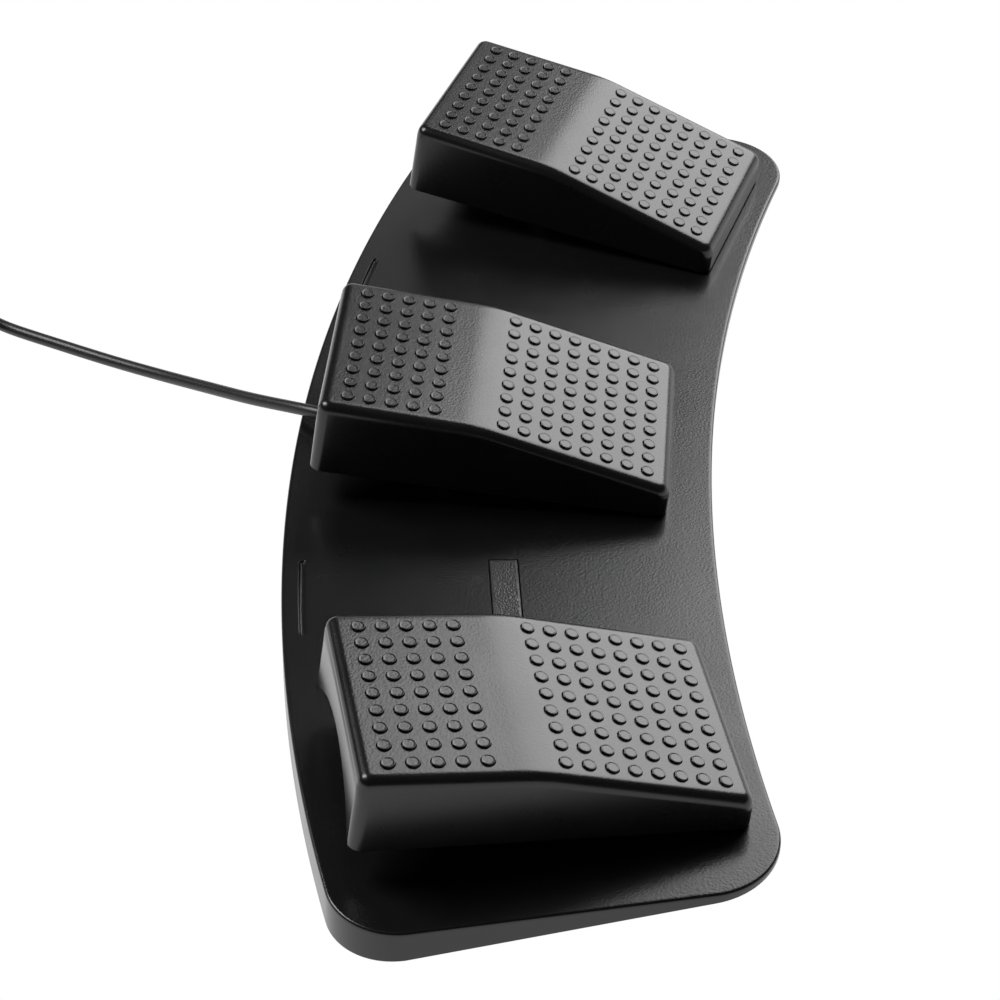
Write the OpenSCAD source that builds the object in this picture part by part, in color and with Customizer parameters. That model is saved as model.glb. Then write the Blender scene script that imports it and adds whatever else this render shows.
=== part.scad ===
// Triple USB foot pedal: three hinged pedals fanned out on one curved wedge base.
// +Z is up with the floor at z = 0, +X points to the user, +Y to the user's right-hand pedal.
// The deck frame lies on the tilted deck under the centre pedal's bend.
// Each pedal has a station frame on the deck.

/* [Base] */
// Slope of the deck to the floor, in degrees
deck_tilt = 5; // [4:0.25:6]
// Thickness of the base under the centre pedal's bend
base_t = 8; // [7.5:0.1:10]
// Radius of the long convex rear edge
rear_edge_r = 447.5; // [430:0.5:470]
// Radius of the long concave front edge
front_edge_r = 464; // [445:0.5:485]
// Distance from the centre pedal's bend back to the rear edge
rear_reach = 44.4; // [43.5:0.1:48]
// Distance from the centre pedal's bend forward to the front edge
front_reach = 54; // [52:0.1:58]
// Distance from an outer pedal's centre line to the end edge
end_margin = 41; // [39:0.5:46]
// Radius of the two rear corners
rear_corner_r = 15; // [10:0.5:20]
// Radius of the two front corners
front_corner_r = 17; // [10:0.5:20]
// Thickness of the deck
deck_t = 2.2; // [1.8:0.1:2.6]
// Thickness of the base's outer wall
wall_t = 2.4; // [2:0.1:3.2]
// Thickness of the bottom plate
plate_t = 1.2; // [0.8:0.1:1.5]
// Height of the rubber feet
foot_h = 1.5; // [1.3:0.1:3]
// Diameter of the rubber feet
foot_d = 13; // [8:0.5:15]

/* [Pedals] */
// Sideways distance from the centre pedal to an outer pedal
fan_spread = 108.7; // [104:0.1:114]
// How far the outer pedals stand forward of the centre pedal
fan_forward = 15.5; // [12:0.1:19]
// Turn of an outer pedal towards the user, in degrees
fan_turn = 14.9; // [12:0.1:16]
// Width of a pedal
pedal_w = 50; // [48:0.5:54]
// Length of the rear facet, from the bend to the rear wall
rear_len = 36.4; // [36:0.1:38]
// Length of the ramp, from the bend to the front wall
ramp_len = 45.4; // [44.8:0.1:46.4]
// Height of the rear edge above the skirt's lower edge
rear_h = 19.3; // [18.5:0.1:21]
// Height of the bend above the skirt's lower edge
bend_h = 18; // [17.5:0.1:18.8]
// Height of the front edge above the skirt's lower edge
front_h = 7.55; // [7.3:0.05:8.3]
// How far the rear wall leans out at its foot
rear_lean = 0.8; // [0.2:0.1:1.5]
// Thickness of a pedal's walls
skirt_t = 2; // [1.6:0.1:2.4]
// Thickness of a pedal's top
top_t = 2.2; // [1.8:0.1:2.4]
// Radius of the bend in the top
bend_r = 45; // [20:1:60]
// Radius of the top edges
edge_r = 2.1; // [1.2:0.1:2.2]
// Radius of the pedal's upright corners
pedal_corner_r = 2.6; // [2.3:0.1:4]
// Rise of the arch cut in the rear wall
arch_rise = 9.4; // [8.5:0.1:11]
// Width of the arch at the skirt's lower edge
arch_w = 43.6; // [40:0.1:45]
// Distance between studs
stud_pitch = 5; // [4.6:0.05:5.2]
// Diameter of a stud at its foot
stud_d = 3; // [2.4:0.1:3.4]
// Height of a stud
stud_h = 0.42; // [0.3:0.02:0.8]

/* [Hinge and spring] */
// Diameter of the steel hinge pin
pin_d = 3; // [2.4:0.1:3.2]
// Distance from the pedal's front edge back to the hinge pin
hinge_in = 8; // [7.4:0.1:8.4]
// Height of the hinge pin above the skirt's lower edge
hinge_z = 3.4; // [3.2:0.05:3.6]
// Tilt of the skirt's lower edge to the deck with the pedal up, in degrees
rest_tilt = 5; // [4.5:0.1:5.4]
// Gap under the skirt when its lower edge is parallel to the deck
skirt_gap = 1.1; // [1:0.05:1.6]
// Travel of a pedal, in degrees
press_angle = 5.4; // [4.5:0.1:5.4]
// Mean diameter of the return spring
spring_d = 8; // [7.4:0.1:9]
// Diameter of the spring wire
spring_wire = 0.9; // [0.7:0.05:1.1]

/* [Switch] */
// Length of the switch case
switch_l = 19.8; // [19:0.1:20.5]
// Thickness of the switch case
switch_w = 6.4; // [6:0.1:6.8]
// Height of the switch case
switch_h = 10.2; // [9.6:0.1:10.6]
// Angle of the switch lever with the pedal up, in degrees
lever_rest = 20; // [18:0.5:22]

/* [Cable] */
// Diameter of the cable
cable_d = 3; // [2.8:0.05:3.2]
// Number of loops in each layer of the coil
loops_per_layer = 4; // [3:1:4]
// Layers in the coil
coil_layers = 4; // [2:2:4]

/* [Hidden] */
// Clearances: a face that seats, a pin that turns, a hole round a screw and pieces that pass each other
seat = 0.05;
run = 0.05;
hole_play = 0.3;
pass = 0.1;

// Stations: side of the fan, -1 left, 0 centre, 1 right
SIDES = [-1, 0, 1];

// Deck outline
rear_centre = rear_edge_r - rear_reach;
front_centre = front_reach + front_edge_r;
fan_place = [fan_forward, fan_spread];
fan_axis = [cos(fan_turn), -sin(fan_turn)];
fan_side = [sin(fan_turn), cos(fan_turn)];
rear_steps = 24;
front_steps = 16;
corner_steps = 8;

function arc(c, r, from, to, n) =
    [for (i = [0:n]) let (a = from + (to - from) * i / n) c + r * [cos(a), sin(a)]];

// Centre of a corner round that touches the end edge and a long edge's circle of the given reach
function corner_centre(circle_x, reach, margin) =
    let (p = fan_place + fan_side * margin - [circle_x, 0], b = p * fan_axis)
    p + [circle_x, 0] - fan_axis * (b + sqrt(b * b - p * p + reach * reach));

// Right-hand half of the outline, drawn in from the edge by inset, and by front_inset more at the front
function half_outline(inset, front_inset) =
    let (rr = rear_corner_r - inset, fr = front_corner_r - inset,
         rc = corner_centre(rear_centre, rear_edge_r - inset - rr, end_margin - inset - rr),
         fc = corner_centre(front_centre, front_edge_r + inset + front_inset + fr, end_margin - inset - fr),
         rear_end = atan2(rc[1], rear_centre - rc[0]),
         front_end = atan2(fc[1], front_centre - fc[0]),
         rear_step = rear_end / rear_steps,
         front_step = front_end / front_steps)
    concat(arc([rear_centre, 0], rear_edge_r - inset, 180 - rear_step, 180 - rear_end, rear_steps - 1),
           arc(rc, rr, 180 - rear_end, 90 - fan_turn, corner_steps),
           arc(fc, fr, 90 - fan_turn, -front_end, corner_steps),
           arc([front_centre, 0], front_edge_r + inset + front_inset, 180 - front_end, 180 - front_step,
               front_steps - 1));

function base_outline(inset = 0, front_inset = 0) =
    let (half = half_outline(inset, front_inset), n = len(half))
    concat(half, [for (i = [1:n]) [half[n - i][0], -half[n - i][1]]]);

// Deck frame in the part's own frame, centred on the base
deck_z = foot_h + base_t * cos(deck_tilt);
front_corner = corner_centre(front_centre, front_edge_r + front_corner_r, end_margin - front_corner_r);
rear_wall_h = base_t + rear_reach * tan(deck_tilt);
deck_x = (rear_reach * cos(deck_tilt) + rear_wall_h * sin(deck_tilt)
          - (front_corner[0] + front_corner_r) * cos(deck_tilt)) / 2;

// Base inside: cavity, plate and the solid toe in front of them
cavity_front = 32;
cavity_front_inset = 24;
plate_inset = 1.6;
plate_front_inset = 18;
// A block wider and a cut deeper than the whole part, and the spare depth of a blind hole
slab = 400;
deep = 40;
hole_spare = 0.2;

// Screws that hold the plate, and feet: places on the deck, then in the outer stations, outwards positive
screw_d = 2.6;
screw_l = 4.5;
screw_head_d = 5.4;
screw_head_h = 0.9;
post_d = 7;
post_from_edge = 8.4;
SCREW_DECK = [[post_from_edge - rear_reach, 36], [24, 42]];
SCREW_STATION = [[-28, 32], [-2, 34]];
FEET_DECK = [[-34, 0], [42, 0]];
FEET_STATION = [[-24, 23], [42, 22]];

// Deck grooves and strip
groove_w = 1.7;
groove_deep = 0.8;
groove_in = 4.6;
groove_from = 47.5;
groove_to = 72.5;
strip_l = 28;
strip_w = 6.3;
strip_t = 0.45;
strip_sunk = 0.3;
strip_at = [9.5, -57];
strip_turn = 7.4;

// Pedal profile in the pedal frame: under the bend, at the skirt's lower edge
rear_slope = atan2(rear_h - bend_h, rear_len);
ramp_slope = atan2(bend_h - front_h, ramp_len);
front_lean = 0.2;
PROFILE = [[-rear_len - rear_lean, 0], [-rear_len, rear_h], [0, bend_h], [ramp_len, front_h],
           [ramp_len + front_lean, 0]];
// Least inner round, and what keeps the plan's end faces off the profile's lower corners
least_r = 0.3;
trim = 0.02;
arch_r = (arch_w * arch_w / 4 + arch_rise * arch_rise) / (2 * arch_rise);
stud_top_d = stud_d - stud_h;
stud_sunk = 0.2;
stud_rows = 9;
REAR_STUDS = [5, 10.2];
RAMP_STUDS = [8, 5.8];
rib_t = 1.6;
rib_deep = 3;
rib_y = 8;
rib_reach = 26.8;

// Hinge: the pin stands in the base's ears, and the pedal's lugs turn on it
hinge_x = ramp_len - hinge_in;
hinge_up = hinge_z + skirt_gap;
hinge_fwd = hinge_x * cos(rest_tilt) - (bend_h - hinge_z) * sin(rest_tilt);
lug_r = 3.2;
lug_t = 3;
lug_y = 17;
ear_t = 4;
ear_r = 2.8;
ear_gap = 0.4;
ear_y = lug_y - ear_t - ear_gap;

// Spring: stands on the deck round a peg and holds up a boss under the pedal
spring_x = -6;
spring_turns = 7;
spring_foot = 0.6;
spring_rings = 8;
boss_deep = 3.5;
bend_rest_z = hinge_up + hinge_x * sin(rest_tilt) + (bend_h - hinge_z) * cos(rest_tilt);
spring_top = bend_rest_z - spring_x * tan(rest_tilt + rear_slope) - top_t - boss_deep;
peg_play = 0.8;
peg_d = spring_d - spring_wire - 2 * peg_play;
peg_h = 7;
cup_t = 1.5;
cup_h = 2.5;
cup_d = spring_d + spring_wire + 2 * hole_play;
boss_rim = 1;
boss_d = spring_d + spring_wire + 2 * boss_rim;

// Switch: stands on the deck against a web, its lever hinged at the user's end
switch_x = -9;
switch_y = 12;
web_t = 2.5;
web_h = 7;
fix_pitch = 9.5;
fix_z = 3;
fix_d = 2;
fix_head_d = 3.6;
fix_head_h = 1.2;
lever_t = 0.4;
lever_w = 3.6;
lever_l = 16.5;
pivot_d = 1;
barrel_d = 1.5;
cheek_t = 0.8;
cheek_r = 1;
cheek_sunk = 0.5;
pivot_in = 1.9;
pivot_over = 0.9;
pivot_x = switch_x + switch_l / 2 - pivot_in;
pivot_z = switch_h + pivot_over;
plunger_d = 1.8;
plunger_arm = 3.2;
plunger_x = pivot_x - plunger_arm;
plunger_sunk = 2;
plunger_low = switch_h - plunger_sunk;
plunger_bore = 3.2;
touch_reach = 14;
tip_r = 1;
tip_w = 5;
tip_z = pivot_z + (lever_t / 2 + tip_r + pass + touch_reach * sin(lever_rest)) / cos(lever_rest);
plunger_z = pivot_z + (pivot_x - plunger_x) * tan(lever_rest)
            - (lever_t / 2 + plunger_d / 2 + pass) / cos(lever_rest);
terminal_l = 3;
terminal_w = 2.6;
terminal_t = 0.5;
TERMINALS = [-7, 0, 7];
window_rim = 0.8;
window_side = 0.6;
lead_d = 1.1;
lead_gap = 1.6;
lead_side_gap = 2;

// Controller board, hung on posts under the deck between the left and centre pedals
board_from_edge = 10.4;
board_x = board_from_edge - rear_reach;
board_l = 24;
board_y = -72;
board_w = 30;
board_t = 1.6;
board_drop = 2.2;
board_z = -deck_t - board_drop;
board_edge = 2.6;
board_screw_d = 1.8;
board_screw_l = 3.2;
board_head_d = 3.4;
board_head_h = 0.9;
board_post_d = 4.4;
chip_at = [8, 9];
chip_size = [4.4, 10, 1.2];
chip_lift = 0.15;
chip_pins = 8;
chip_pin_pitch = 1.2;
chip_pin_from = 0.5;
chip_pin = [1.2, 0.5, 0.5];
chip_pin_out = 0.5;
crystal_at = [16, 18];
crystal_d = 1.8;
crystal_l = 6;

// Cable gland: a hood on the deck with a grommet in its rear wall
cable_up = 3.8;
cable_y = 1;
hood_rear = -33;
hood_front = -13.6;
hood_w = 9;
hood_h = 7.6;
hood_wall = 5;
pocket_w = 5;
pocket_roof = 1.6;
gland_d = 5;
flange_d = 7;
flange_t = 1.2;
tail_z = -4.2;
tail_r = 6;
tail_turn_r = 8;
tail_over = 1.3;
tail_end_y = -34;
wire_d = 0.6;
wire_pitch = 0.75;
pad_from = 7;
pad_pitch = 2;

// Route of the cable on the floor, and where it joins the coil
ROUTE = [[-56, 4, 16], [-70, 13.5, 12], [-84, 24.5, 7.5], [-98, 34.5, 4], [-112, 42.5, 2.5],
         [-126, 49.5, 2.3], [-140, 56.5, 2.3], [-147, 61, 2.3], [-153, 66, 2.3]];
route_steps = 3;
cable_gap = 0.45;
coil_step = cable_d + cable_gap;
coil_rings = 24;
coil_mean_d = 11.6 * cable_d;
coil_out_r = coil_mean_d / 2 + (loops_per_layer - 1) * coil_step / 2;
coil_in_r = coil_out_r - loops_per_layer * coil_step;
coil_start = 52;
coil_z = 2.3;
lead_out = 190;
tie_t = 0.6;
tie_w = 6;
tie_at = 300;
tie_play = 0.3;

// Plug
grip_l = 27;
grip_w = 15.6;
grip_h = 8;
grip_r = 2;
relief_l = 11;
relief_d = 6.4;
relief_tip_d = 4.4;
relief_core_d = 4;
relief_cuts = 3;
relief_cut_from = 2;
relief_cut_pitch = 3;
relief_cut_w = 1.2;
overlap = 0.1;
shell_w = 12;
shell_h = 4.5;
shell_t = 0.3;
shell_out = 12;
shell_in = 6;
shell_window = 2.4;
shell_window_from = 4;
shell_window_y = 2.6;
insert_short = 0.6;
contact_from = 2;
insert_t = 1.9;
contact_w = 1;
contact_t = 0.2;
contact_pitch = 2.25;

// Frames
module deck_frame() {
    translate([deck_x, 0, deck_z]) rotate([0, deck_tilt, 0]) children();
}

module station(side) {
    deck_frame() translate([abs(side) * fan_forward, side * fan_spread, 0])
        rotate([0, 0, -side * fan_turn]) children();
}

// Pedal frame inside a station, with the pedal up
module pedal_frame() {
    translate([hinge_fwd, 0, hinge_up]) rotate([0, rest_tilt, 0])
        translate([-hinge_x, 0, -hinge_z]) children();
}

// Cylinder along +Y from y = 0
module cross_rod(d, l) {
    rotate([-90, 0, 0]) cylinder(d = d, h = l, $fn = 48);
}

// Same frames for points
function from_deck(p) = [p[0] * cos(deck_tilt) + p[2] * sin(deck_tilt) + deck_x, p[1],
                         -p[0] * sin(deck_tilt) + p[2] * cos(deck_tilt) + deck_z];
function from_station(side, p) =
    let (a = -side * fan_turn)
    from_deck([abs(side) * fan_forward + p[0] * cos(a) - p[1] * sin(a),
               side * fan_spread + p[0] * sin(a) + p[1] * cos(a), p[2]]);
// Place on the underside, in the part's frame, below a point of the deck
function under_deck(p) = let (q = from_deck([p[0], p[1], 0])) [q[0], q[1], foot_h];
function under_station(side, p) = let (q = from_station(side, [p[0], p[1], 0])) [q[0], q[1], foot_h];

SCREWS = concat([for (p = SCREW_DECK, s = [-1, 1]) under_deck([p[0], s * p[1]])],
                [for (p = SCREW_STATION, s = [-1, 1]) under_station(s, [p[0], s * p[1]])]);
FEET = concat([for (p = FEET_DECK) under_deck(p)],
              [for (p = FEET_STATION, s = [-1, 1]) under_station(s, [p[0], s * p[1]])]);

// Round tube of a given number of sides along a list of points, with its ends closed
function unit(v) = v / norm(v);
function heading(path, i) =
    unit(path[min(i + 1, len(path) - 1)] - path[max(i - 1, 0)]);
function tube_points(path, d, sides) =
    [for (i = [0:len(path) - 1])
        let (t = heading(path, i), a = unit(cross([0, 0, 1], t)), b = cross(t, a))
        for (k = [0:sides - 1]) path[i] + d / 2 * (a * cos(360 * k / sides) + b * sin(360 * k / sides))];
function tube_faces(n, sides) =
    concat([for (k = [1:sides - 2]) [0, k, k + 1]],
           [for (i = [0:n - 2], k = [0:sides - 1])
               let (a = i * sides + k, b = i * sides + (k + 1) % sides)
               each [[a, b + sides, b], [a, a + sides, b + sides]]],
           [for (k = [1:sides - 2]) [(n - 1) * sides, (n - 1) * sides + k + 1, (n - 1) * sides + k]]);
module tube(path, d, sides) {
    polyhedron(tube_points(path, d, sides), tube_faces(len(path), sides), convexity = 10);
}

// Base shell: wedge with its deck features, the bearings and seats under the pedals, and the cavity
module base_shell() {
    color("#26282b") difference() {
        union() {
            difference() {
                wedge();
                cavity();
            }
            inner_posts();
            for (side = SIDES) station(side) deck_fittings();
            deck_frame() cable_hood();
        }
        plate_rebate();
        for (p = SCREWS) translate(p) cylinder(d = screw_d + 2 * seat, h = screw_l + hole_spare, $fn = 32);
        deck_frame() {
            deck_grooves();
            strip_place() strip_block(strip_l + 2 * pass, strip_w + 2 * pass, -strip_sunk, deep);
            board_holes();
            hood_openings();
        }
        for (side = SIDES) station(side) terminal_window();
    }
}

module wedge() {
    intersection() {
        deck_frame() translate([0, 0, -deep]) linear_extrude(deep) polygon(base_outline());
        translate([-slab / 2, -slab / 2, foot_h]) cube([slab, slab, deep]);
    }
}

module cavity() {
    deck_frame() intersection() {
        translate([0, 0, -deep]) linear_extrude(deep - deck_t)
            polygon(base_outline(wall_t, cavity_front_inset));
        translate([-slab + cavity_front, -slab / 2, -deep]) cube([slab, slab, deep]);
    }
}

module plate_rebate() {
    intersection() {
        deck_frame() translate([0, 0, -deep]) linear_extrude(deep)
            polygon(base_outline(plate_inset - pass, plate_front_inset - pass));
        translate([-slab / 2, -slab / 2, 0]) cube([slab, slab, foot_h + plate_t]);
    }
}

// Screw posts under the deck, and the posts that carry the board
module inner_posts() {
    intersection() {
        for (p = SCREWS) translate(p) cylinder(d = post_d, h = deep, $fn = 48);
        deck_frame() translate([-slab / 2, -slab / 2, -deep]) cube([slab, slab, deep - deck_t / 2]);
    }
    deck_frame() board_corners() translate([0, 0, board_z])
        cylinder(d = board_post_d, h = board_drop + deck_t / 2, $fn = 32);
}

module board_corners() {
    for (x = [board_edge, board_l - board_edge], y = [board_edge, board_w - board_edge])
        translate([board_x + x, board_y + y, 0]) children();
}

module board_holes() {
    board_corners() translate([0, 0, board_z - pass])
        cylinder(d = board_screw_d + 2 * seat, h = board_screw_l - board_t + pass + hole_spare, $fn = 24);
}

// Hinge ears, spring seat and switch web on the deck, in a station
module deck_fittings() {
    difference() {
        for (s = [0, 1]) mirror([0, s, 0]) translate([hinge_fwd, ear_y, 0]) {
            translate([0, 0, hinge_up]) cross_rod(2 * ear_r, ear_t);
            translate([-ear_r, 0, -deck_t / 2]) cube([2 * ear_r, ear_t, hinge_up + deck_t / 2]);
        }
        translate([hinge_fwd, -pedal_w / 2, hinge_up]) cross_rod(pin_d + 2 * seat, pedal_w);
    }
    translate([spring_x, 0, -deck_t / 2]) {
        cylinder(d = cup_d + 2 * cup_t, h = spring_foot + deck_t / 2, $fn = 64);
        cylinder(d = peg_d, h = peg_h + deck_t / 2, $fn = 48);
        difference() {
            cylinder(d = cup_d + 2 * cup_t, h = cup_h + deck_t / 2, $fn = 64);
            cylinder(d = cup_d, h = deep, $fn = 64);
        }
    }
    difference() {
        translate([switch_x - switch_l / 2, switch_y + switch_w / 2 + seat, -deck_t / 2])
            cube([switch_l, web_t, web_h + deck_t / 2]);
        switch_fixings() cross_rod(fix_d + 2 * seat, switch_w + 2 * web_t);
    }
}

module switch_fixings() {
    for (s = [-1, 1]) translate([switch_x + s * fix_pitch / 2, switch_y - switch_w / 2, fix_z]) children();
}

module terminal_window() {
    translate([switch_x - switch_l / 2 + window_rim, switch_y - terminal_w / 2 - window_side, -deck_t - 1])
        cube([switch_l - 2 * window_rim, terminal_w + 2 * window_side, deck_t + 1 + hole_spare]);
}

// Hood that carries the cable's grommet, open below into the cavity
module cable_hood() {
    translate([hood_rear, cable_y - hood_w / 2, -deck_t / 2])
        cube([hood_front - hood_rear, hood_w, hood_h + deck_t / 2]);
}

module hood_openings() {
    translate([hood_rear - 1, cable_y, cable_up]) rotate([0, 90, 0])
        cylinder(d = gland_d + 2 * seat, h = hood_wall + 2, $fn = 48);
    translate([hood_rear + hood_wall, cable_y - pocket_w / 2, -deck_t - 1])
        cube([hood_front - hood_rear - hood_wall - pocket_roof, pocket_w, hood_h - pocket_roof + deck_t + 1]);
}

module deck_grooves() {
    groove_r = rear_edge_r - groove_in;
    from = asin(groove_from / groove_r);
    to = asin(groove_to / groove_r);
    for (s = [0, 1]) mirror([0, s, 0]) translate([rear_centre, 0, -groove_deep]) rotate([0, 0, 180 - to])
        rotate_extrude(angle = to - from, $fn = 360)
            translate([groove_r - groove_w / 2, 0]) square([groove_w, deep]);
}

module strip_place() {
    translate([strip_at[0], strip_at[1], 0]) rotate([0, 0, 90 + strip_turn]) children();
}

module strip_block(l, w, low, h) {
    translate([-l / 2, -w / 2, low]) cube([l, w, h]);
}

module deck_strip() {
    color("#3a3c3f") deck_frame() strip_place() strip_block(strip_l, strip_w, -strip_sunk, strip_t);
}

// Bottom plate, screws and feet
module bottom_plate() {
    color("#1d1e20") difference() {
        intersection() {
            deck_frame() translate([0, 0, -deep]) linear_extrude(2 * deep)
                polygon(base_outline(plate_inset, plate_front_inset));
            translate([-slab / 2, -slab / 2, foot_h]) cube([slab, slab, plate_t]);
        }
        for (p = SCREWS) translate([p[0], p[1], 0]) cylinder(d = screw_d + 2 * hole_play, h = deep, $fn = 32);
    }
}

module bottom_screws() {
    color("#5c5f63") for (p = SCREWS) translate(p) {
        translate([0, 0, -screw_head_h]) cylinder(d = screw_head_d, h = screw_head_h, $fn = 32);
        cylinder(d = screw_d, h = screw_l, $fn = 32);
    }
}

module rubber_feet() {
    color("#2e2e2e") for (p = FEET) translate([p[0], p[1], 0]) cylinder(d = foot_d, h = foot_h, $fn = 48);
}

// Controller board and what it carries
module controller_board() {
    color("#1f5a34") deck_frame() difference() {
        translate([board_x, board_y, board_z - board_t]) cube([board_l, board_w, board_t]);
        board_corners() translate([0, 0, board_z - board_t - 1])
            cylinder(d = board_screw_d + 2 * hole_play, h = board_t + 2, $fn = 24);
    }
}

module on_board(at) {
    deck_frame() translate([board_x + at[0], board_y + at[1], board_z]) children();
}

module controller_chip() {
    color("#202224") on_board(chip_at) {
        translate([0, 0, chip_lift]) cube(chip_size);
        for (s = [-1, 1], i = [0:chip_pins - 1])
            translate([(chip_size[0] - chip_pin[0]) / 2 + s * (chip_size[0] / 2 + chip_pin_out),
                       chip_pin_from + i * chip_pin_pitch, 0]) cube(chip_pin);
    }
}

module crystal_can() {
    color("#b9bcc0") on_board(crystal_at) translate([0, 0, crystal_d / 2]) cross_rod(crystal_d, crystal_l);
}

module board_screws() {
    color("#8a8d90") deck_frame() board_corners() translate([0, 0, board_z - board_t]) {
        cylinder(d = board_screw_d, h = board_screw_l, $fn = 24);
        translate([0, 0, -board_head_h]) cylinder(d = board_head_d, h = board_head_h, $fn = 24);
    }
}

// Cable: grommet, inner tail, free stretch, coil, tie and plug
module cable_grommet() {
    bore = cable_d / 2 + seat;
    color("#1b1c1e") deck_frame() translate([hood_rear, cable_y, cable_up]) rotate([0, 90, 0])
        rotate_extrude($fn = 48)
            polygon([[bore, -flange_t], [flange_d / 2, -flange_t], [flange_d / 2, 0], [gland_d / 2, 0],
                     [gland_d / 2, hood_wall], [bore, hood_wall]]);
}

// Inner tail: through the grommet, down an S bend into the cavity, then round towards the board
tail_angle = acos(1 - (cable_up - tail_z) / (2 * tail_r));
tail_start = hood_rear + hood_wall;
tail_mid = tail_start + tail_r * sin(tail_angle);
tail_low = tail_start + 2 * tail_r * sin(tail_angle);
// The tail turns towards the board as soon as it is down, or where it clears the board's edge
tail_x = max(tail_low + tail_turn_r, board_x + board_l + tail_over);
TAIL = concat(
    [for (x = [hood_rear - flange_t, hood_rear + 2]) [x, cable_y, cable_up]],
    [for (i = [0:5]) let (a = tail_angle * i / 5)
        [tail_start + tail_r * sin(a), cable_y, cable_up - tail_r * (1 - cos(a))]],
    [for (i = [1:5]) let (a = tail_angle * (1 - i / 5))
        [tail_low - tail_r * sin(a), cable_y, tail_z + tail_r * (1 - cos(a))]],
    [for (i = [1:6]) let (a = 90 * i / 6)
        [tail_x - tail_turn_r * (1 - sin(a)), cable_y - tail_turn_r * (1 - cos(a)), tail_z]],
    [[tail_x, tail_end_y, tail_z]]);

module cable_tail() {
    color("#151617") tube([for (p = TAIL) from_deck(p)], cable_d, 8);
}

// Four conductors side by side from the jacket's end to pads at the board's nearest edge
module cable_conductors() {
    pad_x = board_x + board_l;
    z = board_z + wire_d / 2 + seat;
    color("#9a2a26") for (k = [0:3]) {
        x = tail_x + (k - 1.5) * wire_pitch;
        y = board_y + board_w - pad_from - k * pad_pitch;
        stops = [[x, tail_end_y, tail_z], [x, tail_end_y - 2, tail_z], [x, y + 3, z],
                 [x - 1, y + 0.8, z], [pad_x - 0.2, y, z], [pad_x - 2.2, y, z]];
        tube([for (p = stops) from_deck(p)], wire_d, 6);
    }
}

// Centre of the coil, set so that the cable runs into the first loop along its tangent
coil_way = [-sin(coil_start), cos(coil_start), 0];
coil_entry = ROUTE[len(ROUTE) - 1] + 2 * cable_d * coil_way;
coil_centre = coil_entry - coil_out_r * [cos(coil_start), sin(coil_start), 0];
cable_exit = from_deck([hood_rear - flange_t, cable_y, cable_up]);
cable_straight = from_deck([hood_rear - flange_t - cable_d, cable_y, cable_up]);
STOPS = concat([cable_exit, cable_straight], ROUTE, [coil_entry]);
// Curve through the stops, and straight for a diameter at both ends
function between(a, b, c, d, t) =
    (2 * b + (c - a) * t + (2 * a - 5 * b + 4 * c - d) * t * t + (3 * b - a - 3 * c + d) * t * t * t) / 2;
FREE = concat([cable_exit],
              [for (i = [1:len(STOPS) - 3], k = [0:route_steps - 1])
                  between(STOPS[i - 1], STOPS[i], STOPS[i + 1], STOPS[i + 2], k / route_steps)],
              [coil_entry - coil_way * cable_d, coil_entry]);

module usb_cable() {
    color("#151617") tube(FREE, cable_d, 8);
}

// Coil: loops spiral in and out, and climb a layer in the half turn where the spiral reverses.
// u counts turns from the coil's start.
coil_turns = loops_per_layer * coil_layers + (lead_out - coil_start) / 360;
function coil_layer(u) = min(floor(u / loops_per_layer), coil_layers - 1);
function coil_r(u) =
    let (k = coil_layer(u), w = u - k * loops_per_layer)
    k % 2 == 0 ? coil_out_r - coil_step * w : coil_in_r + coil_step * w;
function coil_climb(u) =
    let (k = round(u / loops_per_layer), w = u - k * loops_per_layer)
    k < 1 || k > coil_layers - 1 ? coil_layer(u)
        : abs(w) < 0.25 ? k - 0.5 + 2 * w : coil_layer(u);
function coil_point(u) =
    let (a = coil_start + 360 * u)
    [coil_centre[0] + coil_r(u) * cos(a), coil_centre[1] + coil_r(u) * sin(a),
     coil_z + coil_step * coil_climb(u)];
coil_count = floor(coil_turns * coil_rings);
LOOPS = [for (i = [0:coil_count]) coil_point(i / coil_rings)];
// Way out: down beside the coil to the plug, which lies flat on the floor
out_from = LOOPS[coil_count];
out_way = unit([-sin(lead_out), cos(lead_out), 0]);
plug_z = grip_h / 2;
out_drop = out_from[2] - plug_z;
out_l = 30;
out_steps = 5;
OUT = [for (i = [1:out_steps]) let (s = i / out_steps)
    out_from + out_way * (out_l * s) - [0, 0, out_drop * (1 - cos(180 * s)) / 2]];
joint_gap = 0.01;
COIL = concat([coil_entry + coil_way * joint_gap, coil_entry + coil_way * cable_d / 4],
              [for (i = [1:coil_count]) LOOPS[i]], OUT, [OUT[out_steps - 1] + out_way * cable_d]);
plug_at = COIL[len(COIL) - 1];
plug_turn = atan2(out_way[1], out_way[0]);

module usb_cable_coil() {
    color("#151617") tube(COIL, cable_d, 6);
}

// Least gap between the coil's loops, and the cable's length, measured on the centre lines
function run_length(p, i = 1, s = 0) =
    i >= len(p) ? s : run_length(p, i + 1, s + norm(p[i] - p[i - 1]));
coil_gap = min([for (i = [0:coil_count], j = [i + coil_rings / 2:coil_count])
    norm(LOOPS[i] - LOOPS[j])]) - cable_d;
echo(coil_gap = coil_gap, cable_length = run_length(FREE) + run_length(COIL));

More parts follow.
